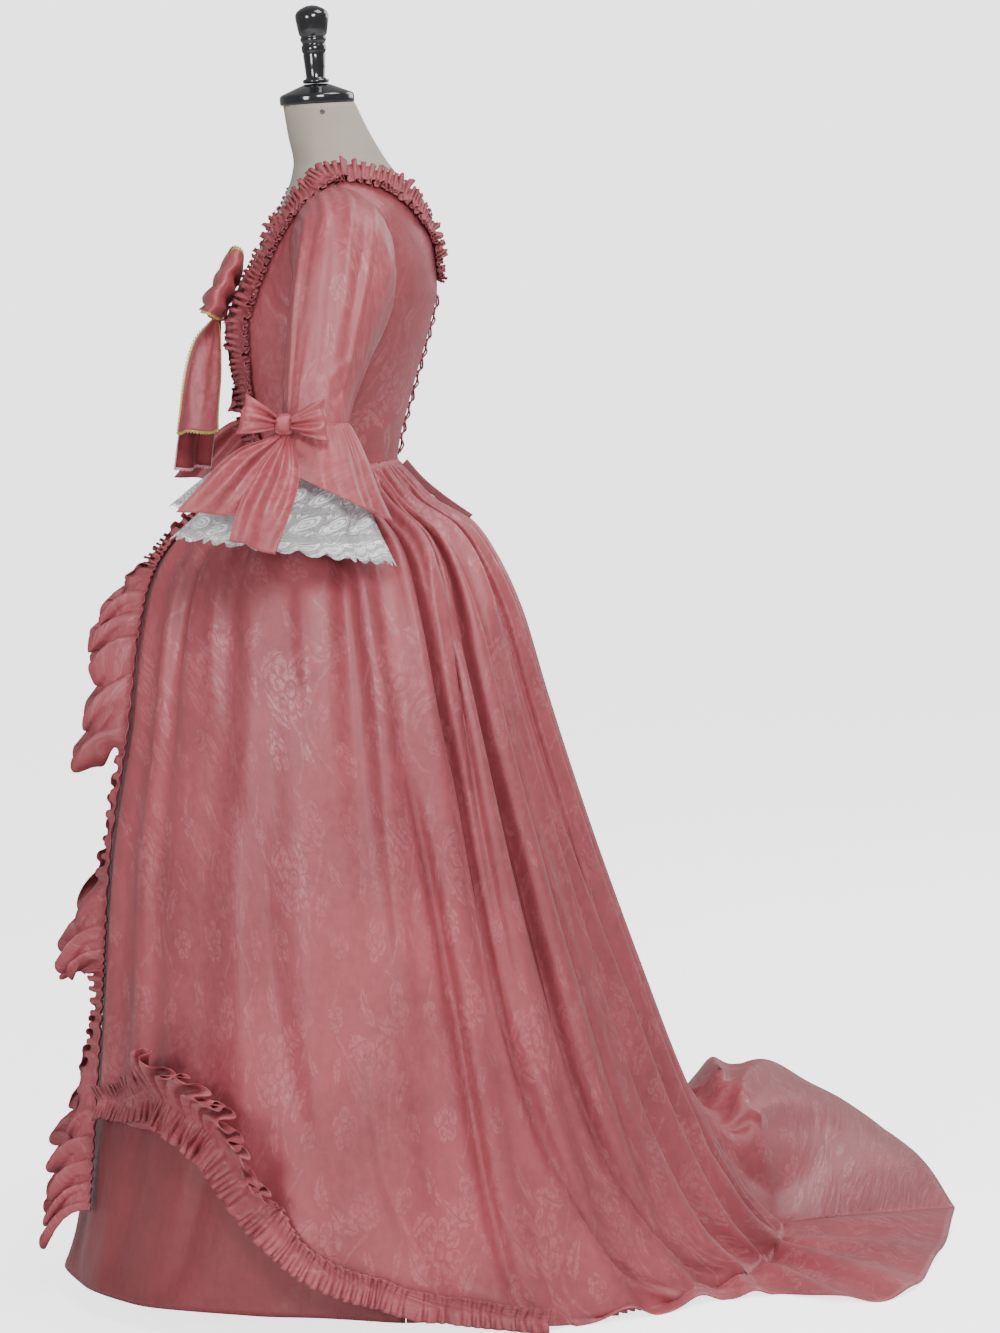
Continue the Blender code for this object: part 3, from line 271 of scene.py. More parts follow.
@dataclass
class Sheet:
    """One thin piece of cloth, laid from a surface."""

    name: str
    surface: Surface
    size: tuple[int, int]
    material: Material
    flat: tuple[float, float]
    area: float | None = None
    slot: str = "damask"
    held: Held = Held.HUNG
    rests_on: tuple[str, ...] = ("form_torso",)
    wall: float = 0.0010
    facing: float = 1.0
    tube: bool = False
    offset: float = -1.0
    relief: Callable[[Floats, Floats], Floats] | None = None

    @property
    def node(self) -> str:
        """The CAD node that the sheet stands for: its own name less the last word."""
        return self.name.rpartition("_")[0]

    def points(self) -> Floats:
        """The sheet's grid of points, rows by columns, with its relief."""
        columns, rows = self.size
        down, across = np.meshgrid(np.linspace(0, 1, rows + 1), np.linspace(0, 1, columns + 1), indexing="ij")
        grid = self.surface(across.ravel(), down.ravel()).reshape(rows + 1, columns + 1, 3)
        if self.relief is None:
            return grid
        along = np.gradient(grid, axis=1)
        if self.tube:
            along[:, 0] = along[:, -1] = grid[:, 1] - grid[:, -2]
        outward = unit(np.cross(along, np.gradient(grid, axis=0))) * self.facing
        lift = self.relief(across.ravel(), down.ravel()).reshape(across.shape)
        return grid + outward * lift[..., None]

    def above_floor(self, grid: Floats) -> Floats:
        """The grid with no point in the floor."""
        grid[..., 2] = np.maximum(grid[..., 2], self.wall + FLOOR_GAP)
        return grid

    def build(self) -> Piece:
        """Returns:
            The new piece.
        """
        grid = self.above_floor(self.points())
        if self.tube:
            grid[:, -1] = grid[:, 0]
        piece = grid_object(self.name, grid, self.tube, self.facing < 0)
        piece.data.materials.append(self.material)
        shell = piece.modifiers.new("wall", "SOLIDIFY")
        shell.thickness = self.wall
        shell.offset = self.offset
        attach(piece, "root")
        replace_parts(piece, self.node)
        cells = np.cross(grid[1:, :-1] - grid[:-1, :-1], grid[:-1, 1:] - grid[:-1, :-1])
        area = np.linalg.norm(cells, axis=-1).sum()
        LOG.info("%s: %d quads, %.4f m2", self.name, math.prod(self.size), area)
        return piece


def grid_object(name: str, grid: Floats, tube: bool, flip: bool) -> Piece:
    """Make an object from a grid of points, with its cloth's own metres as its UVs.

    Args:
        name: The object's name.
        grid: Points, rows by columns.
        tube: Whether the last column is the first one again.
        flip: Whether the faces turn round.

    Returns:
        The linked object.
    """
    rows, columns = grid.shape[0] - 1, grid.shape[1] - 1
    kept = columns if tube else columns + 1
    i, j = np.meshgrid(np.arange(rows), np.arange(columns), indexing="ij")
    corners = [(i, j), (i, j + 1), (i + 1, j + 1), (i + 1, j)]
    if flip:
        corners.reverse()
    faces = np.stack([(a * kept + b % kept).ravel() for a, b in corners], axis=-1)
    mesh = bpy.data.meshes.new(name)
    mesh.from_pydata(grid[:, :kept].reshape(-1, 3).tolist(), [], faces.tolist())
    middle = columns // 2
    across = np.linalg.norm(np.diff(grid, axis=1), axis=-1)
    across = np.concatenate([np.zeros((rows + 1, 1)), np.cumsum(across, axis=1)], axis=1)
    across -= across[:, middle : middle + 1]
    down = np.linalg.norm(np.diff(grid, axis=0), axis=-1)
    down = np.concatenate([np.zeros((1, columns + 1)), np.cumsum(down, axis=0)], axis=0)
    layer = mesh.uv_layers.new(name=UV_NAME)
    places = np.stack([np.stack([across[a, b], -down[a, b]], axis=-1) for a, b in corners], axis=2)
    layer.data.foreach_set("uv", places.reshape(-1).astype(np.float32))
    mesh.shade_smooth()
    piece = bpy.data.objects.new(name, mesh)
    bpy.context.scene.collection.objects.link(piece)
    return piece


def solid_piece(piece: Piece, material: Material) -> Piece:
    """Dress a piece that isn't a sheet, and let it ride on the gown's one body."""
    piece.data.materials.append(material)
    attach(piece, "root")
    LOG.info("%s", piece.name)
    return piece


def tube_object(name: str, paths: list[Floats], radius: float, closed: bool = False) -> Piece:
    """One mesh of round threads along paths of points.

    Args:
        name: The object's name.
        paths: Each thread's points.
        radius: The threads' radius.
        closed: Whether each path joins its own start.

    Returns:
        The linked object, with no material yet.
    """
    sides = THREAD_SIDES
    turn = np.linspace(0, 2 * math.pi, sides, endpoint=False)
    vertices, faces, start = [], [], 0
    for path in paths:
        count = len(path)
        tangent = unit(np.roll(path, -1, 0) - np.roll(path, 1, 0) if closed else np.gradient(path, axis=0))
        guide = np.where(np.abs(tangent[:, 2:]) > 0.9, [[1.0, 0, 0]], [[0, 0, 1.0]])
        first = unit(np.cross(tangent, guide))
        second = np.cross(tangent, first)
        ring = first[:, None] * np.cos(turn)[None, :, None] + second[:, None] * np.sin(turn)[None, :, None]
        vertices.append((path[:, None] + radius * ring).reshape(-1, 3))
        steps = count if closed else count - 1
        for i in range(steps):
            for k in range(sides):
                a, b = start + i * sides, start + (i + 1) % count * sides
                faces.append((a + k, a + (k + 1) % sides, b + (k + 1) % sides, b + k))
        if not closed:
            faces.append(tuple(start + k for k in reversed(range(sides))))
            faces.append(tuple(start + (count - 1) * sides + k for k in range(sides)))
        start += count * sides
    mesh = bpy.data.meshes.new(name)
    mesh.from_pydata(np.concatenate(vertices).tolist(), [], faces)
    mesh.shade_smooth()
    piece = bpy.data.objects.new(name, mesh)
    bpy.context.scene.collection.objects.link(piece)
    return piece


class Graph:
    """Short ways to add and link the nodes of one tree."""

    def __init__(self, tree: bpy.types.NodeTree) -> None:
        """Work on a node tree."""
        self.tree = tree

    def put(self, socket: Socket, value: object) -> None:
        """Link a socket to another, or set its value."""
        if isinstance(value, Socket):
            self.tree.links.new(value, socket)
        else:
            socket.default_value = value

    def add(self, kind: str, inputs: dict[str | int, object] | None = None, **settings: object) -> Node:
        """Add a node with its settings and its inputs."""
        node = self.tree.nodes.new(kind)
        for name, value in settings.items():
            setattr(node, name, value)
        for key, value in (inputs or {}).items():
            self.put(node.inputs[key], value)
        return node

    def math(self, operation: str, *values: object, clamp: bool = False) -> Socket:
        """A math node's output."""
        node = self.add("ShaderNodeMath", dict(enumerate(values)), operation=operation, use_clamp=clamp)
        return node.outputs[0]

    def vector(self, operation: str, *values: object) -> Socket:
        """A vector math node's output."""
        node = self.add("ShaderNodeVectorMath", dict(enumerate(values)), operation=operation)
        return node.outputs[0]

    def ramp(
        self, value: object, low: float, high: float, to_low: float = 0.0, to_high: float = 1.0
    ) -> Socket:
        """A value mapped softly from one range to another."""
        inputs = {"Value": value, "From Min": low, "From Max": high, "To Min": to_low, "To Max": to_high}
        return self.add("ShaderNodeMapRange", inputs, interpolation_type="SMOOTHSTEP").outputs["Result"]

    def mix(self, share: object, low: object, high: object, how: str = "MIX") -> Socket:
        """Two colours mixed."""
        node = self.add("ShaderNodeMix", {0: share, 6: low, 7: high}, data_type="RGBA", blend_type=how)
        return node.outputs[2]

    def noise(self, vector: object, scale: float, detail: float = 2.0, roughness: float = 0.5) -> Socket:
        """A noise texture's value."""
        inputs = {"Vector": vector, "Scale": scale, "Detail": detail, "Roughness": roughness}
        return self.add("ShaderNodeTexNoise", inputs).outputs[0]

    def uv(self) -> Socket:
        """The cloth's own metres."""
        return self.add("ShaderNodeUVMap", uv_map=UV_NAME).outputs[0]

    def place(self) -> Socket:
        """The object's own metres."""
        return self.add("ShaderNodeTexCoord").outputs["Object"]

    def group(self, name: str, **inputs: object) -> Node:
        """Place a shared group with its own values; underscores stand for spaces."""
        node = self.add("ShaderNodeGroup", node_tree=bpy.data.node_groups[name])
        for key, value in inputs.items():
            self.put(node.inputs[key.replace("_", " ")], value)
        return node


class SharedGroup:
    """A shader node group in the making, with named inputs and outputs."""

    def __init__(self, name: str, inputs: dict[str, object], outputs: tuple[str, ...]) -> None:
        """Make the group and its sockets.

        Args:
            name: The group's name.
            inputs: Each input's first value; a tuple makes a vector.
            outputs: The names of its value outputs.
        """
        tree = bpy.data.node_groups.new(name, "ShaderNodeTree")
        for key, value in inputs.items():
            kind = "NodeSocketVector" if isinstance(value, tuple) else "NodeSocketFloat"
            socket = tree.interface.new_socket(key, in_out="INPUT", socket_type=kind)
            socket.default_value = value
        for key in outputs:
            tree.interface.new_socket(key, in_out="OUTPUT", socket_type="NodeSocketFloat")
        self.graph = Graph(tree)
        self.entry = tree.nodes.new("NodeGroupInput").outputs
        self.exit = tree.nodes.new("NodeGroupOutput").inputs


def make_flower_group() -> None:
    """A round flower with petals and a ringed heart, as a mask."""
    inputs = {"Vector": (0.0, 0.0, 0.0), "X": 0.0, "Y": 0.0, "Radius": 0.2, "Petals": 5.0, "Turn": 0.0}
    made = SharedGroup("flower", inputs, ("Mask",))
    g, entry = made.graph, made.entry
    parts = g.add("ShaderNodeSeparateXYZ", {0: entry["Vector"]}).outputs
    x = g.math("SUBTRACT", parts[0], entry["X"])
    y = g.math("SUBTRACT", parts[1], entry["Y"])
    away = g.math("SQRT", g.math("ADD", g.math("MULTIPLY", x, x), g.math("MULTIPLY", y, y)))
    part = g.math("DIVIDE", away, entry["Radius"])
    turn = g.math("ADD", g.math("ARCTAN2", y, x), entry["Turn"])
    swing = g.math("MULTIPLY", turn, g.math("MULTIPLY", entry["Petals"], 0.5))
    lobes = g.math("ABSOLUTE", g.math("COSINE", swing))
    edge = g.math("MULTIPLY_ADD", g.math("SQRT", lobes), 0.45, 0.55)
    outer = g.ramp(g.math("SUBTRACT", edge, part), -0.03, 0.05)
    vein = g.ramp(lobes, 0.10, 0.22)
    heart = g.ramp(g.math("ABSOLUTE", g.math("SUBTRACT", part, 0.26)), 0.03, 0.07)
    rim = g.ramp(g.math("ABSOLUTE", g.math("SUBTRACT", g.math("DIVIDE", part, edge), 0.70)), 0.03, 0.08, 0.35)
    petals = g.math("MULTIPLY", g.math("MULTIPLY", outer, vein), g.math("MULTIPLY", heart, rim))
    g.put(made.exit["Mask"], petals)


def make_leaf_group() -> None:
    """A pointed leaf with a bare midrib, as a mask."""
    inputs = {"Vector": (0.0, 0.0, 0.0), "X": 0.0, "Y": 0.0, "Length": 0.2, "Width": 0.07, "Turn": 0.0}
    made = SharedGroup("leaf", inputs, ("Mask",))
    g, entry = made.graph, made.entry
    centre = g.add("ShaderNodeCombineXYZ", {0: entry["X"], 1: entry["Y"]}).outputs[0]
    turning = {"Vector": entry["Vector"], "Center": centre, "Angle": entry["Turn"]}
    turned = g.add("ShaderNodeVectorRotate", turning)
    turned.rotation_type = "Z_AXIS"
    parts = g.add("ShaderNodeSeparateXYZ", {0: turned.outputs[0]}).outputs
    x = g.math("DIVIDE", g.math("SUBTRACT", parts[0], entry["X"]), entry["Length"])
    y = g.math("DIVIDE", g.math("SUBTRACT", parts[1], entry["Y"]), entry["Width"])
    bowed = g.math("ABSOLUTE", g.math("SUBTRACT", y, g.math("MULTIPLY", g.math("MULTIPLY", x, x), 0.5)))
    side = g.math("MULTIPLY_ADD", g.math("SINE", g.math("MULTIPLY", x, 21.0)), 0.12, 0.88)
    half = g.math("MULTIPLY", g.math("SUBTRACT", 1.0, g.math("MULTIPLY", x, x)), side)
    body = g.ramp(g.math("SUBTRACT", half, bowed), 0.0, 0.12)
    g.put(made.exit["Mask"], g.math("MULTIPLY", body, g.ramp(bowed, 0.05, 0.14)))


@dataclass(frozen=True)
class Motif:
    """One flower or leaf of the damask's repeat, in parts of the repeat."""

    kind: str
    x: float
    y: float
    size: float
    turn: float
    petals: float = 6.0


DAMASK_REPEAT = (0.17, 0.24)
LEAF_WIDTH = 0.42
MOTIFS = (
    Motif("flower", 0.50, 0.52, 0.200, 0.3, 8.0),
    Motif("flower", 0.17, 0.20, 0.120, 0.9, 5.0),
    Motif("flower", 0.82, 0.80, 0.125, 0.2, 5.0),
    Motif("flower", 0.82, 0.16, 0.085, 0.0, 6.0),
    Motif("flower", 0.16, 0.78, 0.080, 0.5, 6.0),
    Motif("leaf", 0.30, 0.40, 0.150, 0.8),
    Motif("leaf", 0.72, 0.36, 0.140, 2.3),
    Motif("leaf", 0.66, 0.70, 0.150, 0.5),
    Motif("leaf", 0.32, 0.66, 0.130, 2.5),
    Motif("leaf", 0.48, 0.18, 0.120, 1.5),
    Motif("leaf", 0.46, 0.86, 0.130, 1.2),
    Motif("leaf", 0.12, 0.50, 0.100, 1.9),
    Motif("leaf", 0.90, 0.52, 0.100, 1.1),
)


def make_damask_group() -> None:
    """The damask's repeat of flowers, leaves and a winding stem, as a mask."""
    made = SharedGroup("damask_figure", {"Vector": (0.0, 0.0, 0.0), "Size": 1.0}, ("Figure",))
    g, entry = made.graph, made.entry
    sway = g.add("ShaderNodeTexNoise", {"Vector": entry["Vector"], "Scale": 38.0, "Detail": 2.0}).outputs[1]
    moved = g.vector("MULTIPLY", g.vector("SUBTRACT", sway, (0.5, 0.5, 0.5)), (0.010, 0.010, 0.0))
    placed = g.vector("DIVIDE", g.vector("ADD", entry["Vector"], moved), (*DAMASK_REPEAT, 1.0))
    scaled = g.add("ShaderNodeVectorMath", {0: placed, "Scale": entry["Size"]}, operation="SCALE").outputs[0]
    parts = g.add("ShaderNodeSeparateXYZ", {0: scaled}).outputs
    row = g.math("FLOOR", parts[1])
    shifted = g.math("MULTIPLY_ADD", g.math("MODULO", row, 2.0), 0.5, parts[0])
    x = g.math("FRACT", shifted)
    y = g.math("FRACT", parts[1])
    tile = g.add("ShaderNodeCombineXYZ", {0: x, 1: y}).outputs[0]
    figure: object = 0.0
    for motif in MOTIFS:
        values = {"X": motif.x, "Y": motif.y, "Turn": motif.turn}
        if motif.kind == "flower":
            values |= {"Radius": motif.size, "Petals": motif.petals}
        else:
            values |= {"Length": motif.size, "Width": motif.size * LEAF_WIDTH}
        mask = g.group(motif.kind, Vector=tile, **values).outputs[0]
        figure = g.math("MAXIMUM", figure, mask)
    for centre, swing in ((0.30, 0.16), (0.72, -0.15)):
        wave = g.math("MULTIPLY_ADD", g.math("SINE", g.math("MULTIPLY", y, 2 * math.pi)), swing, centre)
        away = g.math("ABSOLUTE", g.math("SUBTRACT", x, wave))
        figure = g.math("MAXIMUM", figure, g.ramp(away, 0.008, 0.022, 0.7, 0.0))
    wisps = g.ramp(g.noise(entry["Vector"], 95.0, 3.0, 0.65), 0.34, 0.60)
    patches = g.ramp(g.noise(entry["Vector"], 9.0, 2.0), 0.30, 0.62, 0.35)
    g.put(made.exit["Figure"], g.math("MULTIPLY", figure, g.math("MULTIPLY", wisps, patches)))


def make_weave_group() -> None:
    """Warp and weft threads, as a height."""
    inputs = {"Vector": (0.0, 0.0, 0.0), "Threads a Metre": 1500.0, "Slub": 0.5}
    made = SharedGroup("weave", inputs, ("Height",))
    g, entry = made.graph, made.entry
    scaling = {0: entry["Vector"], "Scale": entry["Threads a Metre"]}
    scaled = g.add("ShaderNodeVectorMath", scaling, operation="SCALE")
    parts = g.add("ShaderNodeSeparateXYZ", {0: scaled.outputs[0]}).outputs
    warp = g.math("SINE", g.math("MULTIPLY", parts[0], math.pi))
    weft = g.math("SINE", g.math("MULTIPLY", parts[1], math.pi))
    slub = g.noise(g.vector("MULTIPLY", entry["Vector"], (90.0, 900.0, 90.0)), 1.0)
    threads = g.math("MULTIPLY", warp, weft)
    g.put(made.exit["Height"], g.math("MULTIPLY_ADD", slub, entry["Slub"], threads))


def make_mottle_group() -> None:
    """Broad and fine unevenness of a dyed or used surface, from 0 to 1."""
    inputs = {"Vector": (0.0, 0.0, 0.0), "Scale": 6.0, "Fine Scale": 60.0}
    made = SharedGroup("mottle", inputs, ("Broad", "Fine"))
    g, entry = made.graph, made.entry
    g.put(made.exit["Broad"], g.ramp(g.noise(entry["Vector"], entry["Scale"], 3.0), 0.3, 0.7))
    g.put(made.exit["Fine"], g.ramp(g.noise(entry["Vector"], entry["Fine Scale"], 4.0, 0.6), 0.3, 0.7))


LACE_REPEAT = 0.036
LACE_LEAVES = ((0.40, 0.30, 0.7), (-0.40, 0.30, 2.4), (0.40, -0.32, 2.4), (-0.40, -0.32, 0.7))


def make_lace_group() -> None:
    """Roses and leaves on a fine net, as a cover and a height."""
    made = SharedGroup("lace_figure", {"Vector": (0.0, 0.0, 0.0)}, ("Cover", "Height"))
    g, entry = made.graph, made.entry
    tiles = g.vector("DIVIDE", entry["Vector"], (LACE_REPEAT,) * 3)
    parts = g.add("ShaderNodeSeparateXYZ", {0: tiles}).outputs
    row = g.math("FLOOR", parts[1])
    shifted = g.math("MULTIPLY_ADD", g.math("MODULO", row, 2.0), 0.5, parts[0])
    x = g.math("SUBTRACT", g.math("FRACT", shifted), 0.5)
    y = g.math("SUBTRACT", g.math("FRACT", parts[1]), 0.5)
    away = g.math("SQRT", g.math("ADD", g.math("MULTIPLY", x, x), g.math("MULTIPLY", y, y)))
    turn = g.math("ARCTAN2", y, x)
    spiral = g.math("SINE", g.math("MULTIPLY_ADD", away, 44.0, g.math("MULTIPLY", turn, 1.0)))
    lobes = g.math("ABSOLUTE", g.math("SINE", g.math("MULTIPLY", turn, 2.5)))
    petals = g.math("MULTIPLY_ADD", lobes, 0.07, 0.30)
    rose = g.ramp(g.math("SUBTRACT", petals, away), -0.005, 0.02)
    threads = g.math("MULTIPLY", rose, g.ramp(spiral, -0.55, 0.1, 0.35, 1.0))
    tile = g.add("ShaderNodeCombineXYZ", {0: x, 1: y}).outputs[0]
    leaves: object = 0.0
    for leaf_x, leaf_y, lean in LACE_LEAVES:
        mask = g.group("leaf", Vector=tile, X=leaf_x, Y=leaf_y, Length=0.13, Width=0.065, Turn=lean)
        leaves = g.math("MAXIMUM", leaves, mask.outputs[0])
    figure = g.math("MAXIMUM", threads, leaves)
    cells = g.add(
        "ShaderNodeTexVoronoi", {"Vector": entry["Vector"], "Scale": 620.0}, feature="DISTANCE_TO_EDGE"
    ).outputs["Distance"]
    net = g.ramp(cells, 0.16, 0.05, 0.0, 0.85)
    g.put(made.exit["Cover"], g.math("MAXIMUM", figure, net, clamp=True))
    g.put(made.exit["Height"], figure)


def make_groups() -> None:
    """Build each shared group once."""
    make_flower_group()
    make_leaf_group()
    make_damask_group()
    make_weave_group()
    make_mottle_group()
    make_lace_group()


def new_material(name: str) -> tuple[Material, Graph, Node]:
    """A material with an untouched principled shader.

    Args:
        name: The material's name.

    Returns:
        The material, its graph and its shader.
    """
    material = bpy.data.materials.new(name)
    material.use_nodes = True
    return material, Graph(material.node_tree), material.node_tree.nodes["Principled BSDF"]


def bump(graph: Graph, height: object, distance: float, strength: float, normal: object = None) -> Socket:
    """A bump node's normal."""
    inputs = {"Height": height, "Distance": distance, "Strength": strength}
    if normal is not None:
        inputs["Normal"] = normal
    return graph.add("ShaderNodeBump", inputs).outputs[0]


@dataclass(frozen=True)
class Satin:
    """Damask or plain satin: its ground, its figure and its gloss."""

    name: str
    ground: Point
    figure: Point
    figure_share: float
    ground_roughness: float = 0.45
    figure_roughness: float = 0.30
    sheen: float = 0.05
    mottling: float = 0.34
    rumple: float = 0.75

    def material(self) -> Material:
        """Build the material."""
        material, g, shader = new_material(self.name)
        uv, place = g.uv(), g.place()
        figure = g.math("MULTIPLY", g.group("damask_figure", Vector=uv).outputs["Figure"], self.figure_share)
        mottle = g.group("mottle", Vector=place, Scale=5.0, Fine_Scale=85.0).outputs
        colour = g.mix(figure, (*self.ground, 1.0), (*self.figure, 1.0))
        shade = g.math("MULTIPLY_ADD", mottle["Broad"], self.mottling, 1.0 - self.mottling / 2)
        fine = g.math("MULTIPLY_ADD", mottle["Fine"], self.mottling / 2, shade)
        tone = g.add("ShaderNodeCombineXYZ", {0: fine, 1: fine, 2: fine}).outputs[0]
        g.put(shader.inputs["Base Color"], g.mix(1.0, colour, tone, "MULTIPLY"))
        rough = g.ramp(figure, 0.0, 1.0, self.ground_roughness, self.figure_roughness)
        g.put(shader.inputs["Roughness"], g.math("MULTIPLY_ADD", mottle["Fine"], 0.08, rough))
        weave = g.group("weave", Vector=uv, Threads_a_Metre=1900.0, Slub=1.0).outputs[0]
        normal = bump(g, weave, 0.00004, 0.35)
        normal = bump(g, figure, 0.00010, 0.5, normal)
        rumple = g.noise(g.vector("MULTIPLY", uv, (1.0, 0.45, 1.0)), 34.0, 3.0, 0.55)
        g.put(shader.inputs["Normal"], bump(g, rumple, 0.0022, self.rumple, normal))
        shader.inputs["Sheen Weight"].default_value = self.sheen
        shader.inputs["Sheen Roughness"].default_value = 0.45
        shader.inputs["Sheen Tint"].default_value = (1.0, 0.80, 0.82, 1.0)
        shader.inputs["Specular IOR Level"].default_value = 0.62
        shader.inputs["Specular Tint"].default_value = (1.0, 0.80, 0.82, 1.0)
        return material


@dataclass(frozen=True)
class LaceFinish:
    """White floral lace on a net."""

    name: str = "white_lace"
    colour: Point = (0.80, 0.80, 0.82)

    def material(self) -> Material:
        """Build the material."""
        material, g, shader = new_material(self.name)
        figure = g.group("lace_figure", Vector=g.uv()).outputs
        hollow = tuple(0.72 * part for part in self.colour) + (1.0,)
        shaded = g.mix(figure["Height"], hollow, (*self.colour, 1.0))
        g.put(shader.inputs["Base Color"], shaded)
        g.put(shader.inputs["Alpha"], figure["Cover"])
        g.put(shader.inputs["Normal"], bump(g, figure["Height"], 0.0006, 0.8))
        shader.inputs["Roughness"].default_value = 0.75
        shader.inputs["Sheen Weight"].default_value = 0.2
        return material


@dataclass(frozen=True)
class LinenFinish:
    """The form's plain linen cover."""

    name: str = "greige_linen"
    colour: Point = (0.37, 0.315, 0.265)

    def material(self) -> Material:
        """Build the material."""
        material, g, shader = new_material(self.name)
        place = g.place()
        mottle = g.group("mottle", Vector=place, Scale=9.0, Fine_Scale=240.0).outputs
        darker = tuple(0.86 * part for part in self.colour) + (1.0,)
        colour = g.mix(mottle["Broad"], darker, (*self.colour, 1.0))
        flecks = g.math("MULTIPLY", mottle["Fine"], 0.35)
        g.put(shader.inputs["Base Color"], g.mix(flecks, colour, darker))
        across = g.add("ShaderNodeTexCoord").outputs["Object"]
        weave = g.group("weave", Vector=g.vector("MULTIPLY", across, (1.0, 0.0, 0.0)), Slub=1.6).outputs[0]
        threads = g.noise(g.vector("MULTIPLY", across, (700.0, 700.0, 1500.0)), 1.0)
        height = g.math("ADD", weave, threads)
        g.put(shader.inputs["Normal"], bump(g, height, 0.00012, 0.6))
        shader.inputs["Roughness"].default_value = 0.88
        shader.inputs["Sheen Weight"].default_value = 0.15
        return material


@dataclass(frozen=True)
class HardFinish:
    """Paint, metal or gloss with fine wear."""

    name: str
    colour: Point
    roughness: float
    metallic: float = 0.0
    coat: float = 0.0
    wear: float = 0.2

    def material(self) -> Material:
        """Build the material."""
        material, g, shader = new_material(self.name)
        mottle = g.group("mottle", Vector=g.place(), Scale=14.0, Fine_Scale=260.0).outputs
        worn = tuple(min(1.0, 1.6 * part + 0.01) for part in self.colour) + (1.0,)
        share = g.math("MULTIPLY", mottle["Fine"], self.wear)
        g.put(shader.inputs["Base Color"], g.mix(share, (*self.colour, 1.0), worn))
        rough = g.math("MULTIPLY_ADD", mottle["Broad"], 0.6 * self.wear, self.roughness)
        g.put(shader.inputs["Roughness"], rough)
        g.put(shader.inputs["Normal"], bump(g, mottle["Fine"], 0.00003, 0.3))
        shader.inputs["Metallic"].default_value = self.metallic
        shader.inputs["Coat Weight"].default_value = self.coat
        return material


@dataclass
class Finishes:
    """Every material of the gown and its form, each built once."""

    damask: Material = None
    petticoat: Material = None
    ribbon: Material = None
    tie: Material = None
    lace: Material = None
    linen: Material = None
    gloss: Material = None
    stand: Material = None
    gold: Material = None
    cord: Material = None
    steel: Material = None

    def build(self) -> None:
        """Build the materials."""
        self.damask = Satin("pink_damask", (0.265, 0.053, 0.064), (0.34, 0.094, 0.110), 0.85).material()
        self.petticoat = Satin(
            "plain_satin", (0.165, 0.028, 0.033), (0.18, 0.034, 0.040), 0.15, 0.46, 0.42
        ).material()
        self.ribbon = Satin(
            "ribbon_satin", (0.27, 0.050, 0.060), (0.36, 0.095, 0.110), 0.6, 0.42, 0.32
        ).material()
        self.tie = Satin("tie_satin", (0.20, 0.035, 0.048), (0.22, 0.045, 0.058), 0.2).material()
        self.lace = LaceFinish().material()
        self.linen = LinenFinish().material()
        self.gloss = HardFinish(
            "black_gloss_paint", (0.010, 0.010, 0.012), 0.12, coat=0.6, wear=0.12
        ).material()
        self.stand = HardFinish("black_satin_metal", (0.03, 0.03, 0.034), 0.34, 0.85).material()
        self.gold = HardFinish("old_gold_braid", (0.50, 0.36, 0.14), 0.40, 0.75, wear=0.5).material()
        self.cord = HardFinish("pink_braid", (0.62, 0.36, 0.36), 0.60, wear=0.4).material()
        self.steel = HardFinish("dark_steel", (0.10, 0.10, 0.10), 0.35, 0.9).material()


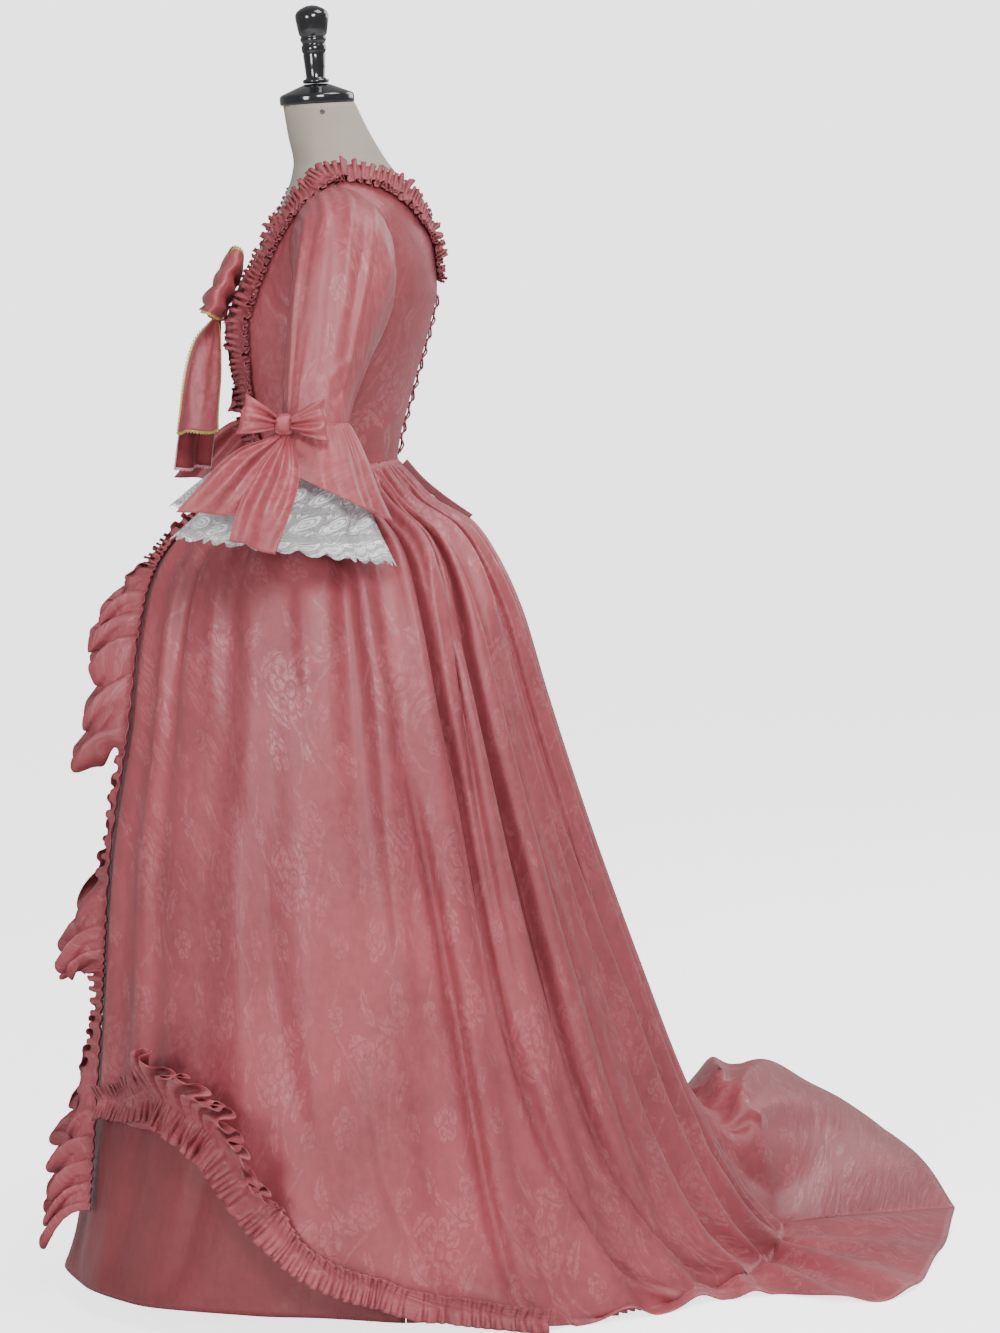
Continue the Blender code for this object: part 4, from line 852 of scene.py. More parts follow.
@dataclass
class DressForm:
    """The limbless form, its neck cap and finial, and the skin that the bodice follows."""

    finishes: Finishes
    sides: int = 96
    levels: int = 120
    screw_place: Point = (0.0505, 0.004, 1.5470)
    screw_radius: float = 0.0032
    rings: Table = table_field(
        "height half_width front back",
        (0.800, 0.120, 0.060, 0.080),
        (0.830, 0.158, 0.082, 0.108),
        (0.900, 0.172, 0.096, 0.122),
        (0.970, 0.158, 0.103, 0.110),
        (1.040, 0.126, 0.103, 0.080),
        (1.080, 0.111, 0.104, 0.072),
        (1.115, 0.115, 0.108, 0.077),
        (1.160, 0.127, 0.117, 0.091),
        (1.230, 0.144, 0.133, 0.115),
        (1.270, 0.150, 0.136, 0.128),
        (1.310, 0.156, 0.122, 0.138),
        (1.360, 0.163, 0.095, 0.139),
        (1.400, 0.160, 0.072, 0.131),
        (1.440, 0.132, 0.050, 0.115),
        (1.465, 0.096, 0.040, 0.096),
        (1.485, 0.067, 0.036, 0.083),
        (1.520, 0.055, 0.041, 0.065),
        (1.558, 0.050, 0.045, 0.049),
    )
    neck_cap: tuple[tuple[float, float], ...] = (
        (0.0, 1.5850),
        (0.0150, 1.5845),
        (0.0240, 1.5810),
        (0.0460, 1.5720),
        (0.0485, 1.5700),
        (0.0490, 1.5680),
        (0.0490, 1.5605),
        (0.0485, 1.5590),
        (0.0470, 1.5583),
        (0.0, 1.5583),
    )
    finial: tuple[tuple[float, float], ...] = (
        (0.0, 1.6870),
        (0.0070, 1.6860),
        (0.0150, 1.6825),
        (0.0200, 1.6785),
        (0.0220, 1.6740),
        (0.0218, 1.6690),
        (0.0198, 1.6570),
        (0.0182, 1.6485),
        (0.0162, 1.6468),
        (0.0160, 1.6455),
        (0.0172, 1.6440),
        (0.0170, 1.6405),
        (0.0158, 1.6392),
        (0.0148, 1.6372),
        (0.0150, 1.6352),
        (0.0163, 1.6335),
        (0.0158, 1.6270),
        (0.0142, 1.6240),
        (0.0146, 1.6225),
        (0.0134, 1.6060),
        (0.0125, 1.5935),
        (0.0132, 1.5915),
        (0.0170, 1.5900),
        (0.0175, 1.5875),
        (0.0160, 1.5854),
        (0.0, 1.5854),
    )

    def skin(self, angle: Floats, height: Floats) -> Floats:
        """A point on the form's skin."""
        sizes = [self.rings.read(name, height) for name in ("half_width", "front", "back")]
        return ring_point(angle, *sizes, height)

    def off_skin(self, angle: Floats, height: Floats, distance: Floats) -> Floats:
        """A point moved out from the form's skin."""
        normals = surface_normals(self.skin, angle, height)
        return self.skin(angle, height) + normals * np.asarray(distance)[..., None]

    def turned(self, name: str, profile: tuple[tuple[float, float], ...], sides: int) -> Piece:
        """A solid turned about the pole's axis, its corners eased."""
        turn = np.linspace(0, 2 * math.pi, sides + 1)
        radius = np.array([corner[0] for corner in profile])[:, None]
        height = np.array([corner[1] for corner in profile])[:, None] + 0 * turn[None]
        grid = np.stack([radius * np.sin(turn), -radius * np.cos(turn), height], axis=-1)
        grid[:, -1] = grid[:, 0]
        piece = grid_object(name, grid, True, True)
        join_close_points(piece)
        return piece

    def build(self) -> None:
        """Make the form's pieces and dress its stand."""
        angle = np.linspace(0, 2 * math.pi, self.sides + 1)
        low, high = self.rings.rows[0, 0], self.rings.rows[-1, 0]
        height, turn = np.meshgrid(np.linspace(high, low, self.levels + 1), angle, indexing="ij")
        grid = self.skin(turn.ravel(), height.ravel()).reshape(*turn.shape, 3)
        lids = [grid[:1] * np.array([part, part, 1.0]) for part in (0.0, 0.5)]
        soles = [grid[-1:] * np.array([part, part, 1.0]) for part in (0.5, 0.0)]
        grid = np.concatenate([*lids, grid, *soles])
        grid[:, -1] = grid[:, 0]
        torso = grid_object("form_torso_cover", grid, True, True)
        join_close_points(torso)
        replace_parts(solid_piece(torso, self.finishes.linen), "form_torso")
        cap = self.turned("form_neck_cap_turned", self.neck_cap, 72)
        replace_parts(solid_piece(cap, self.finishes.gloss), "form_neck_cap")
        finial = self.turned("form_finial_turned", self.finial, 48)
        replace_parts(solid_piece(finial, self.finishes.gloss), "form_finial")
        self.build_screw()
        for node in ("form_pole", "form_base"):
            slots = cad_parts[node].data.materials
            slots.clear()
            slots.append(self.finishes.stand)

    def build_screw(self) -> None:
        """The small screw under the neck cap."""
        turn = np.linspace(0, 2 * math.pi, 25)
        steps = ((0.0, 0.0016), (0.35, 0.0016), (0.38, 0.0022), (0.85, 0.0020), (1.0, 0.0008), (1.0, -0.001))
        circle = [(math.cos(angle), math.sin(angle)) for angle in turn]
        radius = self.screw_radius
        grid = np.array(
            [[(out, radius * part * x, radius * part * y) for x, y in circle] for part, out in steps]
        )
        grid = grid + np.array(self.screw_place)
        grid[:, -1] = grid[:, 0]
        piece = grid_object("form_neck_screw", grid, True, False)
        join_close_points(piece)
        solid_piece(piece, self.finishes.steel)


def join_close_points(piece: Piece) -> None:
    """Weld points that fall together, as at a pole of a turned solid."""
    weld = piece.modifiers.new("weld", "WELD")
    weld.merge_threshold = WELD_REACH


@dataclass
class Petticoat:
    """The plain skirt under the open overskirt."""

    finishes: Finishes
    pleats_a_half: int = 7
    seam_gap: float = 0.0012
    hollows: float = 0.006
    rumple: float = 0.0014
    gathers: int = 46
    gather_depth: float = 0.0018
    stitch_depth: float = 0.0007
    hem_wave: float = 0.004
    fall: float = 0.026
    fall_reach: float = 0.22
    floor_level: float = 11.0
    tuck_level: float = 0.25
    tuck_rise: float = 0.012
    tuck_inward: tuple[float, float] = (0.030, 0.015)
    rings: Table = table_field(
        "height half_width front back",
        (1.0720, 0.1161, 0.1072, 0.0770),
        (1.056, 0.136, 0.127, 0.081),
        (1.028, 0.180, 0.172, 0.094),
        (0.990, 0.222, 0.216, 0.138),
        (0.945, 0.256, 0.242, 0.174),
        (0.875, 0.282, 0.263, 0.198),
        (0.755, 0.309, 0.287, 0.230),
        (0.595, 0.334, 0.324, 0.268),
        (0.395, 0.360, 0.352, 0.322),
        (0.200, 0.384, 0.388, 0.382),
        (0.080, 0.392, 0.414, 0.420),
        (0.034, 0.394, 0.428, 0.434),
    )
    ridges: Table = table_field("level ridge", (0.0, 0.0), (3.0, 0.0025), (11.0, 0.0080))

    def surface(self, start_deg: float) -> Surface:
        """Half of the petticoat, from one side seam round to the other."""

        def place(u: Floats, v: Floats) -> Floats:
            level = v * self.floor_level
            sizes = [self.rings.at(name, level) for name in self.rings.names]
            seam = self.seam_gap / sizes[1] * (0.5 - u)
            point = ring_point(np.radians(start_deg + 180.0 * u) + seam, *sizes[1:], sizes[0])
            wave = np.sin(math.pi * u * self.pleats_a_half) ** 2
            outward = unit(point * np.array([1.0, 1.0, 0.0]))
            point = point + outward * (self.ridges.read("ridge", level) * wave)[..., None]
            foot = smooth_step(self.floor_level - 2.0, self.floor_level, level)
            backward = smooth_step(-self.fall_reach, self.fall_reach, point[..., 1])
            tuck = smooth_step(self.tuck_level, 0.0, level)
            point[..., 2] += foot * (self.hem_wave * wave - self.fall * backward) + self.tuck_rise * tuck
            point[..., :2] *= 1.0 - tuck[..., None] * np.array(self.tuck_inward)
            return point

        return place

    def relief(self, u: Floats, v: Floats) -> Floats:
        """Soft hollows between the pleats, gathers under the waist and a turned hem."""
        edge = smooth_step(0.0, 0.03, u) * smooth_step(1.0, 0.97, u)
        uneven = drift(u, v, (0.11, 0.55), 5) * self.hollows * smooth_step(0.15, 0.6, v)
        uneven = uneven + creased(PETTICOAT_CREASES, u, v)
        fine = drift(u, v, (0.035, 0.30), 9) * self.rumple
        waves = u * 2 * math.pi * self.gathers + 2 * drift(u, v, (0.1, 1.0), 2)
        gathers = np.sin(waves) * self.gather_depth
        hem = -self.stitch_depth * np.exp(-(((v - 0.972) / 0.0022) ** 2))
        return edge * (uneven + fine + gathers * smooth_step(0.34, 0.02, v)) + hem

    def build(self) -> None:
        """Make both halves."""
        for word, start in (("front", -90.0), ("back", 90.0)):
            Sheet(
                f"petticoat_{word}_cloth", self.surface(start), (120, 64), self.finishes.petticoat,
                (1.42, 1.14), area=1.15, held=Held.GATHERED, wall=0.0016, facing=-1.0, relief=self.relief,
                slot="petticoat",
            ).build()


PETTICOAT_CREASES = (
    Crease((0.97, 0.55), (0.88, 0.985), 0.016, -0.011, 0.6),
    Crease((0.90, 0.50), (0.80, 0.985), 0.022, 0.008),
    Crease((0.84, 0.60), (0.74, 0.985), 0.014, -0.010, 0.6),
    Crease((0.70, 0.55), (0.66, 0.985), 0.018, -0.009),
    Crease((0.60, 0.50), (0.58, 0.985), 0.020, 0.008),
    Crease((0.50, 0.55), (0.49, 0.985), 0.014, -0.010, 0.6),
    Crease((0.38, 0.52), (0.40, 0.985), 0.018, -0.008),
    Crease((0.28, 0.55), (0.33, 0.985), 0.020, 0.008),
    Crease((0.17, 0.60), (0.24, 0.985), 0.014, -0.011, 0.6),
    Crease((0.06, 0.55), (0.13, 0.985), 0.016, -0.010),
)


@dataclass
class Overskirt:
    """The pleated overskirt with its train, one half a side."""

    finishes: Finishes
    floor_level: float = 11.0
    hip_level: float = 4.0
    train_levels: float = 2.0
    train_start_deg: float = 113.0
    train_full_deg: float = 150.0
    sweep: float = 0.09
    sweep_start: float = 0.42
    sweep_length: float = 0.22
    cloth_height: float = 0.0022
    gathers_a_pleat: float = 2.3
    gather_depth: float = 0.0022
    long_wave_depth: float = 0.0050
    rumple: float = 0.0012
    tuck_drop: float = 0.012
    tuck_rise: float = 0.008
    tuck_inward: float = 0.019
    columns: int = 266
    rows: int = 108
    rings: Table = table_field(
        "height half_width front back",
        (1.0850, 0.1155, 0.1085, 0.0765),
        (1.062, 0.150, 0.140, 0.091),
        (1.032, 0.198, 0.190, 0.115),
        (0.995, 0.242, 0.236, 0.168),
        (0.950, 0.278, 0.264, 0.195),
        (0.880, 0.304, 0.285, 0.221),
        (0.760, 0.330, 0.307, 0.248),
        (0.600, 0.354, 0.343, 0.288),
        (0.400, 0.380, 0.369, 0.346),
        (0.200, 0.402, 0.396, 0.412),
        (0.060, 0.418, 0.418, 0.482),
        (0.0022, 0.426, 0.432, 0.532),
    )
    pleats: Table = table_field(
        "waist_deg hip_deg foot_deg hem_height ridge skew",
        (24.0, 12.0, 14.0, 0.255, 0.0, 1.0),
        (36.0, 25.0, 27.0, 0.268, 0.010, 1.3),
        (48.0, 37.0, 40.0, 0.266, 0.009, 1.5),
        (60.0, 52.0, 54.0, 0.232, 0.007, 0.8),
        (71.0, 68.0, 67.0, 0.135, 0.006, 1.2),
        (81.0, 83.0, 82.0, 0.070, 0.007, 1.0),
        (92.0, 99.0, 98.0, 0.035, 0.012, 1.6),
        (103.0, 113.0, 113.0, 0.0022, 0.013, 1.4),
        (114.0, 124.0, 126.0, 0.0022, 0.015, 1.6),
        (126.0, 134.0, 138.0, 0.0022, 0.016, 1.5),
        (138.0, 144.0, 149.0, 0.0022, 0.017, 1.5),
        (149.0, 153.0, 158.0, 0.0022, 0.016, 1.4),
        (160.0, 162.0, 166.0, 0.0022, 0.014, 1.2),
        (170.0, 171.0, 173.0, 0.0022, 0.012, 1.0),
        (180.0, 180.0, 180.0, 0.0022, 0.010, 1.0),
    )
    gains: Table = table_field(
        "level gain",
        (0.0, 0.0), (0.6, 0.25), (2.0, 0.60), (5.0, 0.80), (8.0, 1.0), (10.5, 1.05), (13.0, 0.45),
    )
    row_places: Table = table_field(
        "row drop", (0.0, 0.0), (0.25, 0.22), (0.5, 0.53), (0.75, 0.82), (1.0, 1.0)
    )
    left_edge: Table = table_field(
        "foot_deg x y",
        (113.0, 0.400, 0.208),
        (126.0, 0.372, 0.322),
        (138.0, 0.322, 0.412),
        (149.0, 0.330, 0.480),
        (155.0, 0.440, 0.560),
        (159.0, 0.478, 0.610),
        (163.0, 0.440, 0.652),
        (168.0, 0.330, 0.694),
        (174.0, 0.170, 0.745),
        (180.0, 0.000, 0.785),
    )
    right_edge: Table = table_field(
        "foot_deg x y",
        (113.0, 0.400, 0.208),
        (126.0, 0.440, 0.330),
        (138.0, 0.540, 0.405),
        (149.0, 0.680, 0.465),
        (155.0, 0.770, 0.525),
        (159.0, 0.800, 0.600),
        (163.0, 0.760, 0.680),
        (168.0, 0.620, 0.745),
        (174.0, 0.340, 0.792),
        (180.0, 0.000, 0.785),
    )
    swell: Table = table_field(
        "foot_deg height",
        (113.0, 0.000),
        (126.0, 0.030),
        (138.0, 0.080),
        (149.0, 0.160),
        (156.0, 0.180),
        (163.0, 0.168),
        (170.0, 0.120),
        (176.0, 0.030),
        (180.0, 0.000),
    )
    swell_shares: Table = table_field(
        "level share",
        (0.0, 0.0), (8.5, 0.0), (10.0, 0.5), (11.0, 1.0), (11.7, 0.88), (12.4, 0.55), (13.0, 0.0),
    )

    @property
    def count(self) -> int:
        """How many pleats a half has."""
        return len(self.pleats.rows) - 1

    def base(self, place: Floats, drop: Floats, side: Side) -> tuple[Floats, Floats, Floats]:
        """The overskirt with no pleats.

        Args:
            place: Across the half, counted in pleats.
            drop: 0 at the waist and 1 at the edge.
            side: The side whose train is read.

        Returns:
            The points, their levels and their foot angles.
        """
        names = ("waist_deg", "hip_deg", "foot_deg")
        waist, hip, foot = [np.radians(self.pleats.at(name, place)) for name in names]
        foot_deg = np.degrees(foot)
        hem_height = self.pleats.at("hem_height", place)
        heights = self.rings.column("height")
        hem_level = np.interp(-hem_height, -heights, np.arange(len(heights)))
        run = smooth_step(self.train_start_deg, self.train_full_deg, foot_deg) * self.train_levels
        level = drop * (hem_level + run)
        angle = blend([0.0, self.hip_level, self.floor_level], np.stack([waist, hip, foot]), level)
        ring_level = np.minimum(level, self.floor_level)
        height, half_width, front, back = [self.rings.at(name, ring_level) for name in self.rings.names]
        point = ring_point(angle, half_width, front, back, height)
        part = np.clip((level - self.floor_level) / np.maximum(run, 1e-6), 0.0, None)
        part = np.where((level > self.floor_level) & (run > 1e-6), part, 0.0)
        edge = self.left_edge if side is Side.LEFT else self.right_edge
        point[..., 0] += part * (edge.read("x", foot_deg) - point[..., 0])
        point[..., 1] += part * (edge.read("y", foot_deg) - point[..., 1])
        return point, level, foot_deg

    def surface(self, side: Side) -> Surface:
        """The pleated overskirt and train of one side."""

        def flat(u: Floats, v: Floats) -> Floats:
            return self.base(u * self.count, v, side)[0]

        def place_point(u: Floats, v: Floats) -> Floats:
            place = u * self.count
            point, level, foot_deg = self.base(place, v, side)
            normal = -surface_normals(flat, np.clip(u, 0.001, 0.999), np.clip(v, 0.001, 0.999))
            index = np.clip(place.astype(int), 0, self.count - 1)
            part = np.clip(place - index, 0.0, 1.0)
            ridge = self.pleats.column("ridge")[index + 1]
            skew = self.pleats.column("skew")[index + 1]
            rise = ridge * self.gains.read("gain", level) * np.sin(math.pi * part**skew) ** 2
            out = normal * rise[..., None]
            out[..., 2] = np.where(level > self.floor_level - 1.0, np.abs(out[..., 2]), out[..., 2])
            point = point + out
            point[..., 2] = np.maximum(point[..., 2], self.cloth_height)
            point[..., 0] += SEAM_GAP * smooth_step(self.count - 1.0, self.count, place)
            if side is Side.RIGHT:
                share = self.swell_shares.read("share", level)
                turned_deg = np.clip(foot_deg, self.swell.rows[0, 0], self.swell.rows[-1, 0])
                point[..., 2] += share * self.swell.read("height", turned_deg)
            tuck = smooth_step(self.tuck_drop, 0.0, v)
            point[..., 2] += self.tuck_rise * tuck
            point[..., :2] *= (1.0 - self.tuck_inward * tuck)[..., None]
            point = mirrored(point, side)
            run = smooth_step(self.sweep_start, self.sweep_start + self.sweep_length, point[..., 1])
            point[..., 0] -= self.sweep * run
            return point

        return place_point

    def relief(self, side: Side) -> Callable[[Floats, Floats], Floats]:
        """The gathers under the waist, the listed creases and the cloth's unevenness."""
        folds = LEFT_FOLDS if side is Side.LEFT else RIGHT_FOLDS
        seed = 20 if side is Side.LEFT else 60

        def lift(u: Floats, v: Floats) -> Floats:
            drop = self.row_places.read("drop", v)
            place = u * self.count
            wander = drift(place, drop, (1.7, 0.5), seed)
            gathers = np.sin(2 * math.pi * (place * self.gathers_a_pleat + 0.55 * wander))
            tight = self.gather_depth * gathers
            tight = tight * smooth_step(0.0, 0.02, drop) * smooth_step(0.30, 0.05, drop)
            long_waves = drift(place, drop, (0.62, 0.75), seed + 1) * self.long_wave_depth
            long_waves = long_waves * smooth_step(0.05, 0.35, drop)
            soft = drift(place, drop, (0.30, 0.30), seed + 2) * self.rumple
            soft = soft * smooth_step(0.02, 0.2, drop)
            edge = smooth_step(0.0, 0.02, u) * smooth_step(1.0, 0.985, u) * smooth_step(1.0, 0.97, v)
            return edge * (tight + long_waves + soft + creased(folds, place, drop))

        return lift

    def build(self) -> None:
        """Make both halves."""
        for side in Side:
            half = self.surface(side)
            Sheet(
                f"overskirt_{side.word}_cloth",
                lambda u, v, half=half: half(u, self.row_places.read("drop", v)), (self.columns, self.rows),
                self.finishes.damask, (1.75, 1.75), area=1.50 if side is Side.LEFT else 1.70,
                held=Held.GATHERED, rests_on=("petticoat_front", "petticoat_back"), wall=0.0014,
                facing=-side.value, relief=self.relief(side),
            ).build()


LEFT_FOLDS = (
    Fold(
        ((0.02, 4.9), (0.20, 5.20), (0.512, 5.28), (0.66, 5.33), (0.75, 5.52), (0.84, 5.80), (0.95, 5.95)),
        (0.08, 0.36), -0.020,
    ),
    Fold(
        ((0.02, 6.9), (0.24, 6.98), (0.48, 6.98), (0.60, 7.16), (0.72, 7.18), (0.80, 7.38), (0.90, 8.3)),
        (0.075, 0.17), -0.030, 0.45,
    ),
    Fold(
        ((0.05, 8.3), (0.312, 8.05), (0.458, 7.66), (0.615, 7.43), (0.70, 7.42), (0.76, 7.70)),
        (0.08, 0.12), -0.017, 0.6,
    ),
    Fold(
        ((0.02, 8.7), (0.352, 8.35), (0.495, 8.15), (0.60, 8.22), (0.70, 8.24), (0.77, 8.45), (0.84, 9.3)),
        (0.075, 0.17), -0.030, 0.45,
    ),
    Fold(
        ((0.10, 10.5), (0.362, 10.43), (0.51, 10.47), (0.60, 10.65), (0.68, 11.2), (0.74, 11.9)),
        (0.09, 0.14), -0.015,
    ),
    Fold(((0.60, 6.1), (0.70, 6.30), (0.782, 6.38), (0.875, 6.45), (1.0, 6.6)), (0.12, 0.16), -0.023, 0.6),
    Fold(((0.70, 3.6), (0.85, 4.15), (0.92, 4.55), (1.0, 4.7)), (0.30, 0.30), -0.007),
    Fold(((0.20, 2.1), (0.383, 2.05), (0.573, 1.95), (0.652, 1.80), (0.80, 1.75)), (0.16, 0.24), -0.007),
    Fold(((0.25, 3.2), (0.45, 3.2), (0.60, 3.3), (0.80, 3.3)), (0.14, 0.40), -0.006),
    Fold(((0.30, 4.1), (0.515, 4.30), (0.618, 4.50), (0.74, 4.85)), (0.14, 0.25), -0.006),
    Fold(((0.10, 2.7), (0.378, 2.85), (0.527, 2.85), (0.70, 3.0)), (0.13, 0.20), 0.006),
    Fold(((0.25, 5.5), (0.465, 5.56), (0.578, 5.80), (0.70, 6.0)), (0.12, 0.22), 0.007),
    Fold(((0.15, 6.5), (0.395, 6.60), (0.58, 6.78), (0.75, 6.80)), (0.12, 0.16), 0.007),
    Fold(((0.10, 9.9), (0.305, 9.68), (0.463, 9.18), (0.60, 9.0)), (0.16, 0.30), 0.007),
    Fold(((0.10, 7.6), (0.30, 7.6), (0.42, 7.35), (0.55, 7.28)), (0.11, 0.12), 0.006),
    Fold(((0.45, 7.85), (0.62, 7.80), (0.74, 8.05), (0.82, 8.4)), (0.16, 0.20), 0.009),
    Fold(((0.80, 5.2), (0.883, 5.35), (0.93, 5.60), (1.0, 5.8)), (0.10, 0.12), 0.006),
    Fold(((0.55, 9.1), (0.70, 9.18), (0.80, 9.5), (0.90, 10.3)), (0.25, 0.40), 0.010),
    Fold(((0.60, 9.7), (0.72, 9.9), (0.84, 10.5), (0.93, 11.4)), (0.20, 0.30), -0.009),
    Fold(((0.66, 11.9), (0.74, 12.2), (0.84, 12.6), (0.95, 13.0)), (0.14, 0.25), -0.007),
    Fold(((0.10, 11.6), (0.30, 11.7), (0.50, 11.8), (0.62, 12.0)), (0.12, 0.20), -0.008),
    Fold(((0.10, 12.8), (0.35, 12.7), (0.55, 12.9), (0.70, 13.3)), (0.12, 0.25), -0.009),
    Fold(((0.86, 7.3), (0.90, 8.1), (0.94, 9.0), (1.0, 9.9)), (0.25, 0.30), 0.006),
)
RIGHT_FOLDS = tuple(
    fold.moved(0.22 * math.sin(3.0 * i) - 0.1, 0.85 + 0.15 * math.cos(2.0 * i))
    for i, fold in enumerate(LEFT_FOLDS)
)


@dataclass
class Bodice:
    """The fitted bodice: front and back panels, the stomacher and the neck ruffle."""

    finishes: Finishes
    form: DressForm
    waist: float = 1.085
    neckline_front: float = 1.345
    clearance: float = 0.0040
    shoulder_ease: float = 0.0018
    armhole_y: float = 0.010
    armhole_z: float = 1.358
    armhole_half_depth: float = 0.058
    armhole_half_height: float = 0.084
    armhole_margin: float = 0.001
    side_seam_part: float = 0.45
    laced_part: float = 0.55
    shoulder_along: float = 0.62
    shoulder_seam: float = 0.9985
    gathers: float = 84.0
    ruffle_half_width: float = 0.0220
    ruffle_step: float = 0.003
    ruffle_base: float = 0.0012
    ruffle_frill: float = 0.0034
    line: Table = table_field(
        "along angle_deg height",
        (0.00, 17.0, 1.092),
        (0.10, 22.0, 1.160),
        (0.21, 30.0, 1.235),
        (0.30, 33.0, 1.300),
        (0.39, 35.0, 1.360),
        (0.47, 45.0, 1.410),
        (0.54, 70.0, 1.442),
        (0.62, 100.0, 1.459),
        (0.70, 131.0, 1.446),
        (0.78, 152.0, 1.415),
        (0.86, 165.0, 1.382),
        (0.94, 171.0, 1.344),
        (1.00, 175.5, 1.318),
    )

    @property
    def foot(self) -> float:
        """The height of the bodice's lower edge."""
        return self.waist + SEAM_GAP

    def lift(self, height: Floats) -> Floats:
        """How far the bodice's outer side lies from the form."""
        return self.clearance + self.shoulder_ease * smooth_step(1.40, 1.44, height)

    def seam_turn(self, height: Floats) -> Floats:
        """Half of a seam's gap, as an angle round the form."""
        return 1.5 * SEAM_GAP / self.form.rings.read("front", height)

    def armhole(self, turn: Floats, grow: float = 0.0) -> tuple[Floats, Floats]:
        """Angle and height of a point on the armhole; turn 0 is its back, a quarter its top."""
        y = self.armhole_y + (self.armhole_half_depth + grow) * np.cos(turn)
        height = self.armhole_z + (self.armhole_half_height + grow) * np.sin(turn)
        depth = np.where(y < 0, self.form.rings.read("front", height), self.form.rings.read("back", height))
        return np.arccos(np.clip(-y / depth, -1.0, 1.0)), height

    def line_place(self, along: Floats) -> tuple[Floats, Floats]:
        """Angle and height of a place along the ruffle's line."""
        return np.radians(self.line.read("angle_deg", along)), self.line.read("height", along)

    def side_edge(self, v: Floats, direction: int) -> tuple[Floats, Floats]:
        """The side seam and armhole edge; direction is -1 at the front and 1 at the back."""
        quarter = math.pi / 2
        under_angle, under_height = self.armhole(np.array([-quarter]), self.armhole_margin)
        part = np.clip(v / self.side_seam_part, 0.0, 1.0)
        seam_angle = quarter + part * (under_angle - quarter)
        seam_height = self.foot + part * (under_height - self.foot)
        along = np.clip((v - self.side_seam_part) / (1.0 - self.side_seam_part), 0.0, 1.0)
        hole_angle, hole_height = self.armhole(-quarter + direction * math.pi * along, self.armhole_margin)
        on_seam = v <= self.side_seam_part
        return np.where(on_seam, seam_angle, hole_angle), np.where(on_seam, seam_height, hole_height)

    def front_edge(self, v: Floats) -> tuple[Floats, Floats]:
        """The front panel's inner edge, up the ruffle's line to the shoulder."""
        return self.line_place(v * self.shoulder_along)

    def back_edge(self, v: Floats) -> tuple[Floats, Floats]:
        """The back panel's inner edge, up the laced centre back and round the neckline."""
        part = np.clip(v / self.laced_part, 0.0, 1.0)
        last = self.line.rows[-1]
        laced_height = self.foot + part * (last[2] - self.foot)
        above = np.clip((v - self.laced_part) / (1.0 - self.laced_part), 0.0, 1.0)
        neck_angle, neck_height = self.line_place(1.0 - (1.0 - self.shoulder_along) * above)
        on_lacing = v <= self.laced_part
        angle = np.where(on_lacing, math.radians(last[1]), neck_angle)
        return angle, np.where(on_lacing, laced_height, neck_height)

    def panel(self, inner: Callable, direction: int, side: Side) -> Surface:
        """A bodice panel between its inner edge and its side edge."""

        def place(u: Floats, v: Floats) -> Floats:
            upward = v * self.shoulder_seam
            edges = (1 - u) * np.stack(inner(upward)) + u * np.stack(self.side_edge(upward, direction))
            height = np.maximum(edges[1], self.foot)
            angle = edges[0] + self.seam_turn(height) * (1 - 2 * u) * (-direction)
            return mirrored(self.form.off_skin(angle, height, self.lift(height)), side)

        return place

    def stomacher(self, u: Floats, v: Floats) -> Floats:
        """The panel between the front edges."""
        low = self.foot - 0.004
        height = low + v * (self.neckline_front - low)
        rows = self.line.rows[self.line.rows[:, 0] < self.shoulder_along]
        along = np.interp(height, rows[:, 2], rows[:, 0])
        reach = self.line_place(along)[0] - 2.0 * self.seam_turn(height)
        return self.form.off_skin((2 * u - 1) * reach, height, self.lift(height))

    def ruffle(self, side: Side) -> Surface:
        """The ruched ruffle from the front waist over the shoulder to the centre back."""

        def place(u: Floats, v: Floats) -> Floats:
            across = 2 * v - 1
            far = np.abs(across)
            wander = drift(u, across, (0.035, 1.1), 31)
            uneven = drift(u, across, (0.010, 0.9), 37)
            phase = 2 * math.pi * (self.gathers * u + 0.80 * wander + 0.14 * uneven) + 0.8 * across
            angle, height = self.line_place(u)
            step = self.ruffle_step
            base = self.lift(height) + self.ruffle_base
            middle = self.form.off_skin(angle, height, base)
            ends = [self.form.off_skin(*self.line_place(np.clip(u + d, 0, 1)), base) for d in (step, -step)]
            along = unit(ends[0] - ends[1])
            out = surface_normals(self.form.skin, angle, height)
            sideways = np.cross(along, out)
            frill = self.ruffle_frill * (1.0 + 0.75 * uneven)
            wave = 0.9 + np.sin(phase) + 0.35 * far * np.sin(2.6 * phase + 1.0)
            lift = 0.0008 + 0.0026 * far**1.5 + frill * (0.16 + 0.95 * far) * wave
            shift = -0.0024 * far * np.sin(2 * phase)
            taper = 1.0 - 0.75 * smooth_step(0.93, 1.0, u)
            width = self.ruffle_half_width * (1.0 + 0.10 * drift(u, across, (0.015, 2.0), 41))
            reach = across * taper * width * (1.0 - 0.06 * far * (1.0 - np.cos(phase)))
            point = middle + sideways * reach[..., None] + out * lift[..., None] + along * shift[..., None]
            return mirrored(point, side)

        return place

    def relief(self, creases: tuple[Crease, ...], seed: int, size: tuple[float, float]) -> Callable:
        """Listed creases and slight unevenness, none at the edges."""

        def lift(u: Floats, v: Floats) -> Floats:
            across, down = u * size[0], v * size[1]
            edge = smooth_step(0.0, 0.05, u) * smooth_step(1.0, 0.95, u) * smooth_step(1.0, 0.97, v)
            uneven = 0.0008 * drift(across, down, (0.035, 0.05), seed)
            return edge * (creased(creases, across, down) + uneven + 0.0003)

        return lift

